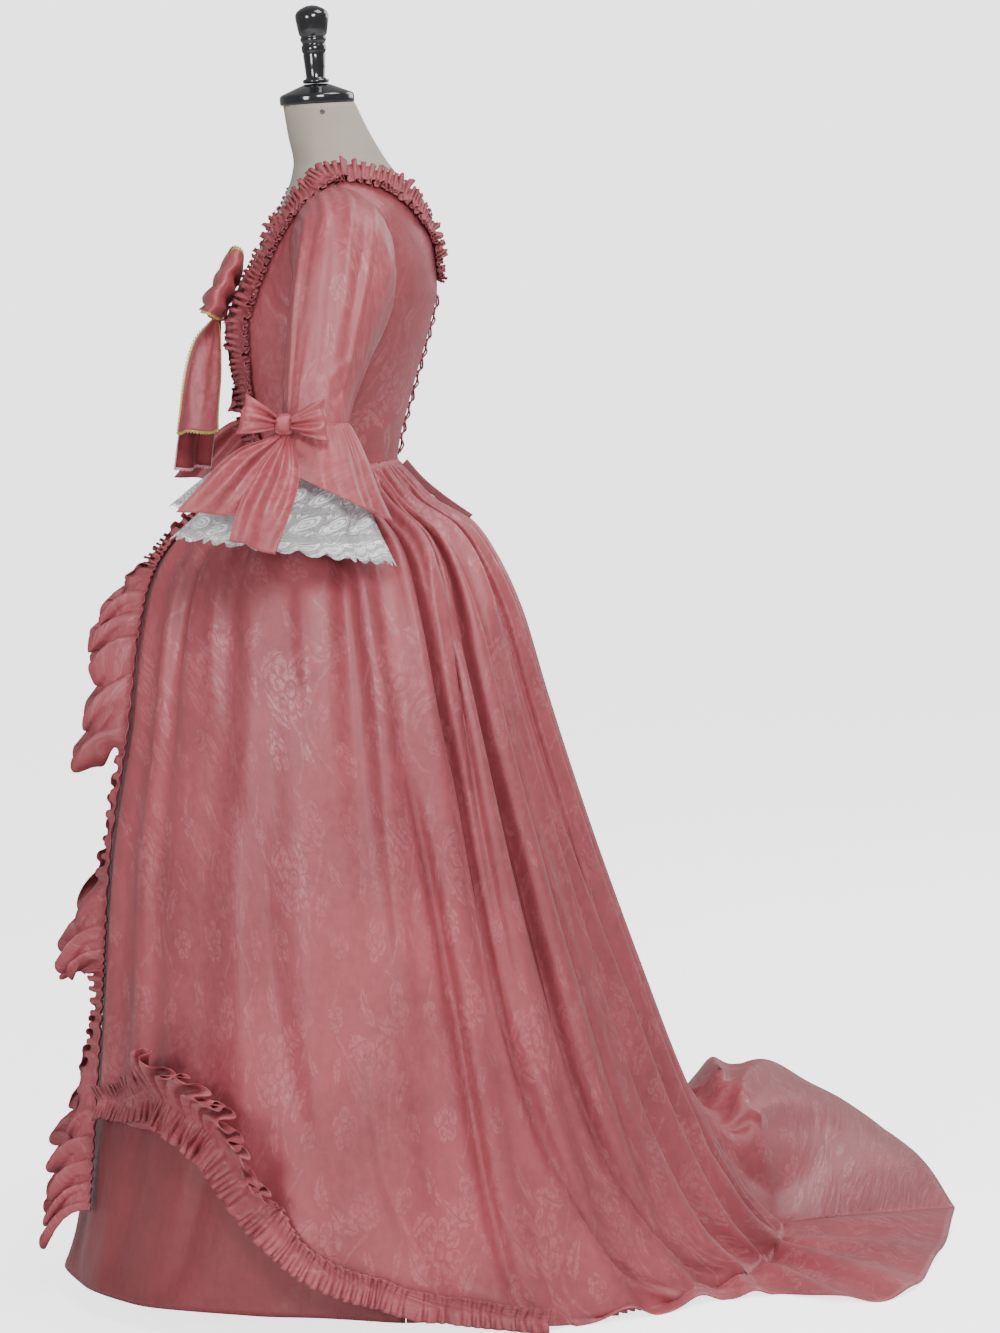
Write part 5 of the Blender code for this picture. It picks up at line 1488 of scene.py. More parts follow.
    def build(self) -> None:
        """Make the panels and the ruffles."""
        for side in Side:
            sign = side.value
            Sheet(
                f"bodice_front_{side.word}_cloth", self.panel(self.front_edge, -1, side), (46, 70),
                self.finishes.damask, (0.17, 0.38), area=0.040, held=Held.STRETCHED, facing=sign,
                relief=self.relief(FRONT_PANEL_CREASES, 11, (0.15, 0.38)),
            ).build()
            Sheet(
                f"bodice_back_{side.word}_cloth", self.panel(self.back_edge, 1, side), (44, 70),
                self.finishes.damask, (0.24, 0.38), area=0.060, held=Held.STRETCHED, facing=-sign,
                relief=self.relief(BACK_PANEL_CREASES, 13, (0.15, 0.38)),
            ).build()
            Sheet(
                f"robing_{side.word}_ruffle", self.ruffle(side), (760, 8), self.finishes.damask,
                (0.049, 1.25), area=0.061, held=Held.GATHERED,
                rests_on=(f"bodice_front_{side.word}", f"bodice_back_{side.word}"), wall=0.0008,
                facing=-sign,
            ).build()
        Sheet(
            "stomacher_cloth", self.stomacher, (40, 48), self.finishes.damask, (0.18, 0.27), area=0.037,
            held=Held.STRETCHED,
        ).build()


FRONT_PANEL_CREASES = (
    Crease((0.030, 0.215), (0.130, 0.150), 0.006, -0.0022),
    Crease((0.045, 0.235), (0.135, 0.185), 0.006, 0.0020),
    Crease((0.030, 0.165), (0.140, 0.120), 0.006, 0.0018),
    Crease((0.060, 0.090), (0.145, 0.060), 0.005, -0.0016),
    Crease((0.050, 0.050), (0.150, 0.030), 0.005, 0.0018),
)
BACK_PANEL_CREASES = (
    Crease((0.040, 0.060), (0.150, 0.020), 0.006, 0.0022),
    Crease((0.060, 0.090), (0.150, 0.060), 0.006, -0.0018),
    Crease((0.050, 0.020), (0.140, 0.005), 0.005, -0.0018),
    Crease((0.090, 0.160), (0.150, 0.140), 0.007, 0.0016),
)


@dataclass
class Sleeves:
    """Elbow sleeves with a damask flounce over a lace one."""

    finishes: Finishes
    bodice: Bodice
    lap: float = 0.0022
    squareness: float = 2.3
    head_pleats: int = 26
    head_pleat_depth: float = 0.0016
    crease_share: float = 0.60
    rings: Table = table_field(
        "outer_x outer_z inner_x inner_z front back tilt",
        (0.196, 1.432, 0.168, 1.258, -0.050, 0.079, 0.000),
        (0.232, 1.404, 0.175, 1.246, -0.053, 0.076, 0.000),
        (0.254, 1.360, 0.182, 1.228, -0.060, 0.064, 0.000),
        (0.268, 1.305, 0.190, 1.205, -0.067, 0.046, 0.000),
        (0.279, 1.250, 0.199, 1.183, -0.072, 0.028, 0.000),
        (0.288, 1.200, 0.207, 1.162, -0.077, 0.012, 0.000),
        (0.296, 1.150, 0.214, 1.140, -0.080, 0.001, 0.000),
    )
    flounce_rings: Table = table_field(
        "outer_x outer_z inner_x inner_z front back tilt",
        (0.2979, 1.1540, 0.2099, 1.1440, -0.0822, 0.0054, 0.000),
        (0.318, 1.122, 0.204, 1.116, -0.106, 0.022, 0.026),
        (0.334, 1.096, 0.206, 1.090, -0.122, 0.034, 0.064),
        (0.344, 1.078, 0.208, 1.072, -0.130, 0.046, 0.098),
    )
    lace_rings: Table = table_field(
        "outer_x outer_z inner_x inner_z front back tilt",
        (0.2960, 1.1484, 0.2140, 1.1384, -0.0800, 0.0010, 0.000),
        (0.310, 1.096, 0.222, 1.092, -0.120, 0.009, 0.010),
        (0.328, 1.046, 0.240, 1.044, -0.174, 0.025, 0.034),
        (0.347, 1.000, 0.266, 0.998, -0.222, 0.045, 0.050),
    )

    def ring(self, table: Table, turn: Floats, level: Floats) -> Floats:
        """A point on a ring; turn 0 is the back and a quarter the outside."""
        sizes = [table.at(name, level) for name in table.names]
        outer_x, outer_z, inner_x, inner_z, front, back, tilt = sizes
        power = 2.0 / self.squareness
        backward = np.sign(np.cos(turn)) * np.abs(np.cos(turn)) ** power
        outward = np.sign(np.sin(turn)) * np.abs(np.sin(turn)) ** power
        x = (outer_x + inner_x) / 2 + outward * (outer_x - inner_x) / 2
        y = (front + back) / 2 + backward * (back - front) / 2
        z = (outer_z + inner_z) / 2 + outward * (outer_z - inner_z) / 2 - backward * tilt / 2
        return np.stack([x, y, z], axis=-1)

    def sleeve(self, side: Side) -> Surface:
        """The sleeve from the armhole to its end."""

        def place(u: Floats, v: Floats) -> Floats:
            turn = 2 * math.pi * u
            count = len(self.rings.rows)
            angle, height = self.bodice.armhole(turn)
            start = self.bodice.form.off_skin(angle, height, self.bodice.lift(height) + self.lap)
            rings = [self.ring(self.rings, turn, np.zeros_like(turn) + i) for i in range(count)]
            stack = np.stack([start, *rings])
            knots = np.arange(count + 1)
            point = np.stack([blend(knots, stack[..., axis], v * count) for axis in range(3)], axis=-1)
            return mirrored(point, side)

        return place

    def sleeve_relief(self, u: Floats, v: Floats) -> Floats:
        """Small pleats at the head, soft long folds and wrinkles at the elbow's bend."""
        outer = np.exp(-(((u - 0.27) / 0.17) ** 2))
        waves = 2 * math.pi * self.head_pleats * u + 1.4 * drift(u, v, (0.08, 0.6), 3)
        head = self.head_pleat_depth * np.sin(waves)
        head = head * outer * smooth_step(0.0, 0.03, v) * smooth_step(0.34, 0.05, v)
        folds = self.crease_share * creased(SLEEVE_CREASES, u, v)
        soft = 0.0022 * drift(u, v, (0.085, 0.45), 7) + 0.0007 * drift(u, v, (0.03, 0.12), 8)
        edge = smooth_step(0.0, 0.02, v) * smooth_step(1.0, 0.985, v)
        return edge * (head + folds + soft * smooth_step(0.02, 0.2, v))

    def flared(self, table: Table, waves: int, depth: float, side: Side, scallops: int = 0) -> Surface:
        """A flared tube whose waves grow towards its free edge.

        Args:
            table: Its rings.
            waves: How many waves run round it.
            depth: The waves' depth at the edge.
            side: The side of the wearer.
            scallops: How many scallops its edge has, or 0.

        Returns:
            The tube's surface.
        """

        def place(u: Floats, v: Floats) -> Floats:
            turn = 2 * math.pi * u
            scallop = 0.0
            if scallops:
                scallop = 0.050 * np.abs(np.sin(scallops * turn / 2)) - 0.030
            level = v * (len(table.rows) - 1.0) * (1.0 + scallop * v**3)
            point = self.ring(table, turn, level)
            quarters = [self.ring(table, 0 * turn + part * math.pi / 2, level) for part in range(4)]
            outward = unit(point - sum(quarters) / 4)
            wave = depth * v * np.sin(waves * turn)
            finer = 0.35 * depth * v**1.5 * np.sin(waves * 2.7 * turn + 2.2 * np.sin(turn))
            gathers = 0.0010 * np.sin(44 * turn) * smooth_step(0.0, 0.05, v) * smooth_step(0.5, 0.1, v)
            return mirrored(point + outward * (wave + finer + gathers)[..., None], side)

        return place

    def build(self) -> None:
        """Make the sleeves and their flounces."""
        for side in Side:
            sleeve = Sheet(
                f"sleeve_{side.word}_cloth", self.sleeve(side), (136, 88), self.finishes.damask,
                (0.42, 0.36), area=0.10, held=Held.HUNG,
                rests_on=(f"bodice_front_{side.word}", f"bodice_back_{side.word}"), facing=-side.value,
                tube=True, relief=self.sleeve_relief,
            ).build()
            Sheet(
                f"sleeve_flounce_{side.word}_cloth", self.flared(self.flounce_rings, 7, 0.007, side),
                (180, 22), self.finishes.ribbon, (0.62, 0.10), area=0.045, held=Held.GATHERED,
                rests_on=(sleeve.name,), wall=0.0008, facing=-side.value, tube=True,
            ).build()
            Sheet(
                f"sleeve_lace_{side.word}_cloth", self.flared(self.lace_rings, 7, 0.006, side, 30),
                (220, 28), self.finishes.lace, (0.74, 0.15), area=0.088, held=Held.GATHERED,
                rests_on=(sleeve.name,), wall=0.0005, facing=-side.value, tube=True, slot="lace",
            ).build()


SLEEVE_CREASES = (
    Crease((0.355, 0.02), (0.40, 0.98), 0.015, -0.0075, 0.6),
    Crease((0.322, 0.03), (0.345, 0.62), 0.014, 0.0042),
    Crease((0.295, 0.02), (0.285, 0.38), 0.010, -0.0034),
    Crease((0.268, 0.02), (0.240, 0.84), 0.016, 0.0034),
    Crease((0.235, 0.02), (0.215, 0.50), 0.012, -0.0046, 0.6),
    Crease((0.190, 0.04), (0.165, 0.80), 0.018, 0.0040),
    Crease((0.155, 0.10), (0.115, 0.97), 0.014, -0.0052, 0.6),
    Crease((0.30, 0.62), (0.33, 0.99), 0.013, -0.0032),
    Crease((0.26, 0.30), (0.21, 0.66), 0.024, 0.0024),
    Crease((0.10, 0.72), (0.22, 0.84), 0.020, -0.0040),
    Crease((0.08, 0.82), (0.20, 0.93), 0.016, 0.0035),
    Crease((0.60, 0.70), (0.44, 0.82), 0.020, -0.0045),
)


@dataclass
class Trims:
    """The ruched trim with fans along the opening and the hem."""

    finishes: Finishes
    overskirt: Overskirt
    base: float = 0.0034
    narrow: float = 0.031
    fan: float = 0.052
    narrow_stand_deg: float = 12.0
    droops: tuple[float, float] = (0.85, 0.55)
    folds_a_wave: tuple[float, float] = (1.55, 2.3)
    inner_shares: tuple[float, float] = (0.35, 1.0)
    curls: tuple[float, float] = (0.0015, 0.0024)
    step: float = 0.004
    wandering: float = 0.55
    ruches_a_wave: float = 3.4
    ruche_depth: float = 0.0036
    kink: float = 0.42
    front_waves: float = 17.0
    hem_waves: float = 18.0
    front: Table = table_field(
        "along pleat drop outer inner stand_deg frill",
        (0.00, 0.22, 0.240, 0.016, 0.012, 10.0, 0.006),
        (0.12, 0.22, 0.385, 0.012, 0.012, 16.0, 0.005),
        (0.19, 0.22, 0.450, 0.040, 0.012, 42.0, 0.010),
        (0.26, 0.22, 0.540, 0.056, 0.012, 48.0, 0.012),
        (0.33, 0.22, 0.630, 0.050, 0.012, 48.0, 0.012),
        (0.38, 0.22, 0.690, 0.066, 0.012, 48.0, 0.013),
        (0.42, 0.22, 0.722, 0.014, 0.012, 15.0, 0.006),
        (0.50, 0.22, 0.800, 0.012, 0.012, 18.0, 0.007),
        (0.57, 0.22, 0.856, 0.062, 0.012, 48.0, 0.013),
        (0.65, 0.22, 0.888, 0.040, 0.012, 36.0, 0.010),
        (0.73, 0.22, 0.925, 0.020, 0.012, 24.0, 0.007),
        (0.82, 0.22, 0.970, 0.038, 0.012, 32.0, 0.010),
        (0.90, 0.22, 1.020, 0.052, 0.012, 40.0, 0.012),
        (1.00, 0.30, 1.080, 0.060, 0.012, 40.0, 0.014),
    )
    hem: Table = table_field(
        "along pleat drop outer inner stand_deg frill",
        (0.00, 0.55, 0.987, 0.026, 0.020, 12.0, 0.007),
        (0.10, 1.10, 0.984, 0.029, 0.022, 14.0, 0.007),
        (0.20, 1.75, 0.980, 0.030, 0.046, 28.0, 0.010),
        (0.29, 2.25, 0.974, 0.036, 0.100, 38.0, 0.013),
        (0.38, 2.83, 0.975, 0.040, 0.108, 42.0, 0.015),
        (0.46, 3.33, 0.979, 0.036, 0.084, 44.0, 0.015),
        (0.54, 3.82, 0.984, 0.028, 0.040, 30.0, 0.010),
        (0.62, 4.35, 0.988, 0.024, 0.020, 13.0, 0.007),
        (0.80, 5.45, 0.990, 0.022, 0.018, 12.0, 0.007),
        (1.00, 6.75, 0.992, 0.015, 0.017, 12.0, 0.006),
    )

    def surface(self, table: Table, waves: float, kind: int, side: Side) -> Surface:
        """A trim stitched along its middle, fluted where its edges widen into fans."""
        count = self.overskirt.count
        skirt = self.overskirt.surface(Side.LEFT)

        def flat(u: Floats, v: Floats) -> Floats:
            return self.overskirt.base(u * count, v, Side.LEFT)[0]

        def line(along: Floats) -> tuple[Floats, Floats]:
            return table.read("pleat", along) / count, table.read("drop", along)

        def place(u: Floats, v: Floats) -> Floats:
            across = 2 * v - 1
            far = np.abs(across)
            middle = skirt(*line(u))
            ends = [skirt(*line(np.clip(u + d, 0, 1))) for d in (self.step, -self.step)]
            along = unit(ends[0] - ends[1])
            out = -surface_normals(flat, *line(u))
            sideways = np.cross(out, along)
            width = np.where(across < 0, table.read("outer", u), table.read("inner", u))
            fan = smooth_step(self.narrow, self.fan, width)
            stand_deg = table.read("stand_deg", u) * fan + self.narrow_stand_deg * (1 - fan)
            stand = np.radians(stand_deg)
            wander = drift(u, across, (0.05, 3.0), int(waves))
            uneven = drift(u, across, (0.014, 3.0), int(waves) + 5)
            turns = waves * self.folds_a_wave[kind] * u + self.wandering * wander + 0.10 * uneven
            folds = 2 * math.pi * turns + 0.9 * far
            fine_turns = waves * self.ruches_a_wave * u + self.wandering * wander + 0.24 * uneven
            fine = 2 * math.pi * fine_turns + 0.8 * across
            frill = table.read("frill", u)
            wave = np.sin(folds) + 0.35 * np.sin(0.43 * folds + 1.0)
            flute = fan * far**1.2 * frill * wave * (1.0 + 0.5 * uneven)
            calm = np.where(across > 0, self.inner_shares[kind], 1.0)
            depth = calm * (0.30 + 0.70 * far) * self.ruche_depth * (1.0 + 0.6 * uneven)
            ruche = depth * np.sin(fine) * (1.0 - 0.92 * fan * far)
            teeth = 0.04 * (1 - fan) * (1 - np.cos(fine)) + 0.09 * fan * (1 - np.sin(0.43 * folds + 1.0))
            reach = across * width * np.cos(stand) * (1.0 - far * teeth)
            lift = self.base + far * width * np.sin(stand) + flute + ruche + 0.003 * far
            curl = fan * (self.droops[kind] * width * far**1.3 - self.kink * frill * np.sin(2 * folds))
            shift = far**1.5 * (curl - self.curls[kind] * calm * (1 - fan) * np.sin(2 * fine))
            point = middle + sideways * reach[..., None] + out * lift[..., None] + along * shift[..., None]
            return mirrored(point, side)

        return place

    def build(self) -> None:
        """Make the trims."""
        for side in Side:
            for kind, (word, table, waves, size, area) in enumerate((
                ("front", self.front, self.front_waves, (0.078, 1.50), 0.067),
                ("hem", self.hem, self.hem_waves, (0.145, 1.60), 0.106),
            )):
                Sheet(
                    f"trim_{word}_{side.word}_ruffle", self.surface(table, waves, kind, side), (720, 10),
                    self.finishes.damask, size, area=area, held=Held.GATHERED,
                    rests_on=(f"overskirt_{side.word}",), wall=0.0008, facing=side.value,
                ).build()


ELBOW_TAIL_CUTS = {"front": (1.15, 0.70), "low": (0.96, 1.02)}


@dataclass(frozen=True)
class Loop:
    """A bow's loop: its direction, its width's direction and its sizes."""

    name: str
    out: Point
    up: Point
    length: float
    half_width: float
    puff: float
    start: float


@dataclass
class Bows:
    """The chest bow with its metallic picots, and a bow at each elbow."""

    finishes: Finishes
    neck_width: float = 0.30
    ripples: float = 1.5
    knot_grid: tuple[int, int] = (41, 49)
    knot_squareness: float = 0.72
    pucker: float = 0.12
    loop_folds: float = 0.11
    loop_sag: float = 0.06
    tail_folds: float = 0.13
    tail_sag: float = 0.0030
    loop_wrap: float = 2.35
    loop_area: float = 3.4
    tail_area: float = 0.9
    picot_pitch: float = 0.0046
    picot_reach: float = 0.0036
    picot_radius: float = 0.00085
    chest_knot: Point = (0.0, -0.1490, 1.303)
    chest_knot_half: Point = (0.013, 0.0150, 0.017)
    chest_loop: Loop = Loop("chest", (1.0, 0.12, 0.34), (-0.30, 0.46, 0.90), 0.100, 0.047, 0.020, 0.0132)
    chest_tails: tuple[tuple[str, Table, Point], ...] = (
        (
            "left",
            Table(
                "x y z half_width ripple",
                (0.002, -0.1512, 1.2860, 0.0052, 0.0),
                (0.022, -0.164, 1.255, 0.030, 0.004),
                (0.038, -0.175, 1.200, 0.041, 0.005),
                (0.046, -0.185, 1.143, 0.045, 0.004),
            ),
            (0.74, 0.67, 0.0),
        ),
        (
            "right",
            Table(
                "x y z half_width ripple",
                (-0.004, -0.1465, 1.2856, 0.0045, 0.0),
                (-0.024, -0.162, 1.250, 0.024, 0.003),
                (-0.042, -0.176, 1.180, 0.032, 0.004),
                (-0.050, -0.194, 1.091, 0.036, 0.004),
            ),
            (0.84, -0.54, 0.0),
        ),
    )
    elbow_knot: Point = (0.3110, -0.0790, 1.1570)
    elbow_knot_half: Point = (0.0090, 0.0120, 0.0135)
    elbow_loops: tuple[Loop, ...] = (
        Loop("front", (0.20, -1.0, 0.32), (0.0, 0.32, 1.0), 0.055, 0.026, 0.016, 0.0122),
        Loop("back", (0.34, 1.0, 0.06), (0.0, -0.06, 1.0), 0.056, 0.027, 0.015, 0.0114),
    )
    elbow_tails: tuple[tuple[str, Table, Point], ...] = (
        (
            "front",
            Table(
                "x y z half_width ripple",
                (0.3130, -0.0824, 1.1420, 0.0036, 0.0),
                (0.3548, -0.123, 1.109, 0.028, 0.003),
                (0.366, -0.152, 1.078, 0.035, 0.003),
                (0.372, -0.184, 1.048, 0.034, 0.002),
            ),
            (0.0, 0.62, -0.78),
        ),
        (
            "low",
            Table(
                "x y z half_width ripple",
                (0.3135, -0.0755, 1.1426, 0.0035, 0.0),
                (0.360, -0.090, 1.100, 0.026, 0.003),
                (0.386, -0.112, 1.055, 0.032, 0.003),
                (0.392, -0.130, 1.010, 0.030, 0.002),
            ),
            (0.0, 0.96, -0.26),
        ),
    )

    def loop(self, centre: Point, loop: Loop, side: Side) -> Surface:
        """A loop out from its knot, round its end and back behind, crumpled at the knot."""
        out, up = unit(loop.out), unit(loop.up)
        face = np.cross(up, out)

        def place(u: Floats, v: Floats) -> Floats:
            across = 2 * v - 1
            swing = np.sin(math.pi * u)
            reach = loop.start + (loop.length - loop.start) * swing
            depth = loop.puff * np.cos(math.pi * u) * (0.25 + 0.75 * swing)
            spread = loop.half_width * (self.neck_width + (1.0 - self.neck_width) * swing**0.8)
            near = 1.0 - swing
            pucker = self.pucker * loop.half_width * np.cos(2 * math.pi * across) * near
            folds = self.loop_folds * loop.half_width * np.sin(3 * math.pi * across + 3.5 * u)
            folds = folds * (0.35 + 0.65 * near)
            sag = self.loop_sag * loop.half_width * drift(u, across, (0.30, 0.7), 17)
            point = (
                np.array(centre)
                + out * (reach + 0.02 * loop.length * np.cos(2 * math.pi * across) * swing)[..., None]
                + face * (depth + pucker + folds + sag)[..., None]
                + up * (across * spread)[..., None]
            )
            return mirrored(point, side)

        return place

    def tail(self, table: Table, width_direction: tuple, side: Side, cut: tuple[float, float]) -> Surface:
        """A flat ribbon along its middle line, creased from the knot down and cut aslant."""
        direction = unit(width_direction)
        rows = np.linspace(0.0, 1.0, len(table.rows))
        fall = table.rows[-1, :3] - table.rows[0, :3]
        face = unit(np.cross(direction, fall))

        def place(u: Floats, v: Floats) -> Floats:
            across = 2 * u - 1
            v = v * (cut[0] + (cut[1] - cut[0]) * u)
            middle = np.stack([blend(rows, table.column(name), v) for name in "xyz"], axis=-1)
            half_width = blend(rows, table.column("half_width"), v)
            ripple = blend(rows, table.column("ripple"), v) * np.sin(math.pi * self.ripples * across)
            folds = self.tail_folds * half_width * np.sin(2.6 * math.pi * across + 1.2 + 0.8 * v)
            folds = folds * (1.25 - v)
            sag = self.tail_sag * drift(across, v, (0.5, 0.3), 19) * v
            sideways = direction * (across * half_width)[..., None]
            return mirrored(middle + sideways + face * (ripple + folds + sag)[..., None], side)

        return place

    def knot(self, node: str, centre: Point, half: Point, side: Side) -> Piece:
        """A pulled knot, with the ribbon's wraps and creases on it."""
        rows, columns = self.knot_grid
        down, across = np.meshgrid(
            np.linspace(0, math.pi, rows), np.linspace(0, 2 * math.pi, columns), indexing="ij"
        )
        out = np.stack([np.sin(down) * np.cos(across), np.sin(down) * np.sin(across), np.cos(down)], axis=-1)
        out = np.sign(out) * np.abs(out) ** self.knot_squareness
        broad = np.sin(7.0 * out[..., 0] + 2.0 * out[..., 2] + 0.6)
        fine = np.sin(13.0 * out[..., 0] - 3.0 * out[..., 2])
        wraps = 0.055 * broad + 0.035 * fine
        grid = out * np.array(half) * (1.0 + wraps * np.sin(down))[..., None]
        grid[:, -1] = grid[:, 0]
        grid = mirrored(grid + np.array(centre), side)
        piece = grid_object(f"{node}_ribbon", grid, True, side is Side.LEFT)
        join_close_points(piece)
        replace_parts(solid_piece(piece, self.finishes.ribbon), node)
        return piece

    def picots(
        self, name: str, surface: Surface, edges: list[tuple[Floats, Floats]], material: Material
    ) -> Piece:
        """A braid of small loops along a ribbon's edges.

        Args:
            name: The piece's name.
            surface: The ribbon's surface.
            edges: Places along each edge, u and v.
            material: The braid's material.

        Returns:
            The new piece.
        """
        pitch = self.picot_pitch
        paths = []
        for u, v in edges:
            line = surface(u, v)
            steps = np.linalg.norm(np.diff(line, axis=0), axis=-1)
            run = np.concatenate([[0.0], np.cumsum(steps)])
            count = max(2, int(run[-1] / pitch))
            fine = np.linspace(0.0, run[-1], count * 8 + 1)
            middle = np.stack([np.interp(fine, run, line[:, axis]) for axis in range(3)], axis=-1)
            inner = surface(0.5 + (u - 0.5) * 0.9, 0.5 + (v - 0.5) * 0.9)
            away = unit(line - inner)
            away = np.stack([np.interp(fine, run, away[:, axis]) for axis in range(3)], axis=-1)
            wave = 0.5 - 0.5 * np.cos(2 * math.pi * fine / pitch)
            paths.append(middle + away * (wave * self.picot_reach)[:, None])
            paths.append(middle + away * 0.0002)
        return solid_piece(tube_object(name, paths, self.picot_radius), material)

    def bow(self, name: str, side: Side, knot: Piece, centre: tuple, loops: list, tails: list) -> None:
        """Make a bow's loops and tails.

        Args:
            name: The start of the pieces' names.
            side: The side of the wearer that tails lie on.
            knot: The knot's piece.
            centre: The knot's place.
            loops: Each loop's name, loop and side.
            tails: Each tail's name, table and width direction.
        """
        for word, loop, loop_side in loops:
            Sheet(
                f"{name}_loop_{word}_ribbon", self.loop(centre, loop, loop_side), (72, 24),
                self.finishes.ribbon, (2.0 * loop.half_width, self.loop_wrap * loop.length),
                area=self.loop_area * loop.half_width * loop.length, held=Held.GATHERED,
                rests_on=(knot.name,), wall=0.0007, offset=0.0,
            ).build()
        for word, table, direction in tails:
            length = float(np.linalg.norm(np.diff(table.rows[:, :3], axis=0), axis=1).sum())
            widest = 2.0 * float(table.column("half_width").max())
            Sheet(
                f"{name}_tail_{word}_ribbon",
                self.tail(table, direction, side, ELBOW_TAIL_CUTS.get(word.split("_")[0], (1.0, 1.0))),
                (40, 48), self.finishes.ribbon, (widest, length), area=self.tail_area * widest * length,
                held=Held.HUNG, rests_on=(knot.name,), wall=0.0007, offset=0.0,
            ).build()

    def build(self) -> None:
        """Make the three bows and the chest bow's picots."""
        chest = self.knot("chest_bow_knot", self.chest_knot, self.chest_knot_half, Side.LEFT)
        loops = [(side.word, self.chest_loop, side) for side in Side]
        self.bow("chest_bow", Side.LEFT, chest, self.chest_knot, loops, list(self.chest_tails))
        ends = np.linspace(0, 1, 60)
        for side in Side:
            surface = self.loop(self.chest_knot, self.chest_loop, side)
            edges = [(ends, 0 * ends), (ends, 0 * ends + 1)]
            self.picots(f"chest_bow_loop_{side.word}_picots", surface, edges, self.finishes.gold)
        for word, table, direction in self.chest_tails:
            surface = self.tail(table, direction, Side.LEFT, (1.0, 1.0))
            edges = [(0 * ends, ends), (ends, 0 * ends + 1), (0 * ends + 1, ends)]
            material = self.finishes.gold if word == "left" else self.finishes.cord
            self.picots(f"chest_bow_tail_{word}_picots", surface, edges, material)
        for side in Side:
            knot = self.knot(f"elbow_bow_knot_{side.word}", self.elbow_knot, self.elbow_knot_half, side)
            loops = [(f"{loop.name}_{side.word}", loop, side) for loop in self.elbow_loops]
            tails = [(f"{word}_{side.word}", table, direction) for word, table, direction in self.elbow_tails]
            self.bow("elbow_bow", side, knot, self.elbow_knot, loops, tails)


@dataclass
class BackLacing:
    """The laced centre back and the flat tie that hangs from it."""

    finishes: Finishes
    bodice: Bodice
    rows: int = 11
    cord_radius: float = 0.0013
    cord_lift: float = 0.0022
    crossing_lift: float = 0.0042
    eyelet_radius: float = 0.0030
    eyelet_thread: float = 0.0007
    eyelet_lift: float = 0.0006
    first_row: float = 0.012
    last_row: float = 1.300
    edge_deg: float = 172.6
    tie: Table = table_field(
        "x y z half_width",
        (0.016, 0.0845, 1.0835, 0.0050),
        (0.022, 0.1035, 1.0590, 0.0050),
        (0.030, 0.1300, 1.0340, 0.0050),
        (0.038, 0.1655, 1.0060, 0.0050),
    )
    tie_width: Point = (0.0, 0.72, 0.69)

    def hole(self, height: float, side: Side, lift: float) -> Floats:
        """An eyelet's place on the back's edge."""
        angle = np.array([math.radians(self.edge_deg)])
        tall = np.array([height])
        return mirrored(self.bodice.form.off_skin(angle, tall, self.bodice.lift(tall) + lift), side)[0]

    def build(self) -> None:
        """Make the eyelets, the lacing and the tie."""
        heights = np.linspace(self.bodice.foot + self.first_row, self.last_row, self.rows)
        turn = np.linspace(0, 2 * math.pi, 18, endpoint=False)
        rings = []
        for side in Side:
            for height in heights:
                centre = self.hole(height, side, self.eyelet_lift)
                sideways = unit(self.hole(height, Side.LEFT, 0) - self.hole(height, Side.RIGHT, 0))
                up = np.array([0.0, 0.0, 1.0])
                ring = sideways[None] * np.cos(turn)[:, None] + up[None] * np.sin(turn)[:, None]
                rings.append(centre + self.eyelet_radius * ring)
        eyelets = tube_object("back_eyelets", rings, self.eyelet_thread, closed=True)
        solid_piece(eyelets, self.finishes.tie)
        paths = []
        for start in Side:
            other = Side.RIGHT if start is Side.LEFT else Side.LEFT
            stops = []
            for i, height in enumerate(heights):
                side = start if i % 2 == 0 else other
                stops.append(self.hole(height, side, self.cord_lift))
                if i + 1 < len(heights):
                    low = self.hole(height, Side.LEFT, self.crossing_lift)
                    high = self.hole(heights[i + 1], Side.RIGHT, self.crossing_lift)
                    middle = (low + high) / 2
                    middle[1] += 0.0014 * start.value + 0.001
                    stops.append(middle)
            stops = np.array(stops)
            count = np.arange(len(stops))
            fine = np.linspace(0, len(stops) - 1, 8 * len(stops))
            paths.append(np.stack([blend(count, stops[:, axis], fine) for axis in range(3)], axis=-1))
        lacing = tube_object("back_lacing", paths, self.cord_radius)
        solid_piece(lacing, self.finishes.tie)
        self.build_tie()

    def build_tie(self) -> None:
        """The flat tie with its free end."""
        direction = unit(self.tie_width)
        rows = np.linspace(0.0, 1.0, len(self.tie.rows))

        def place(u: Floats, v: Floats) -> Floats:
            middle = np.stack([blend(rows, self.tie.column(name), v) for name in "xyz"], axis=-1)
            sideways = direction * ((2 * u - 1) * blend(rows, self.tie.column("half_width"), v))[..., None]
            return middle + sideways

        Sheet(
            "waist_tie_ribbon", place, (8, 60), self.finishes.tie, (0.010, 0.115), held=Held.HUNG,
            rests_on=("bodice_back_left",), wall=0.0008, offset=0.0,
        ).build()


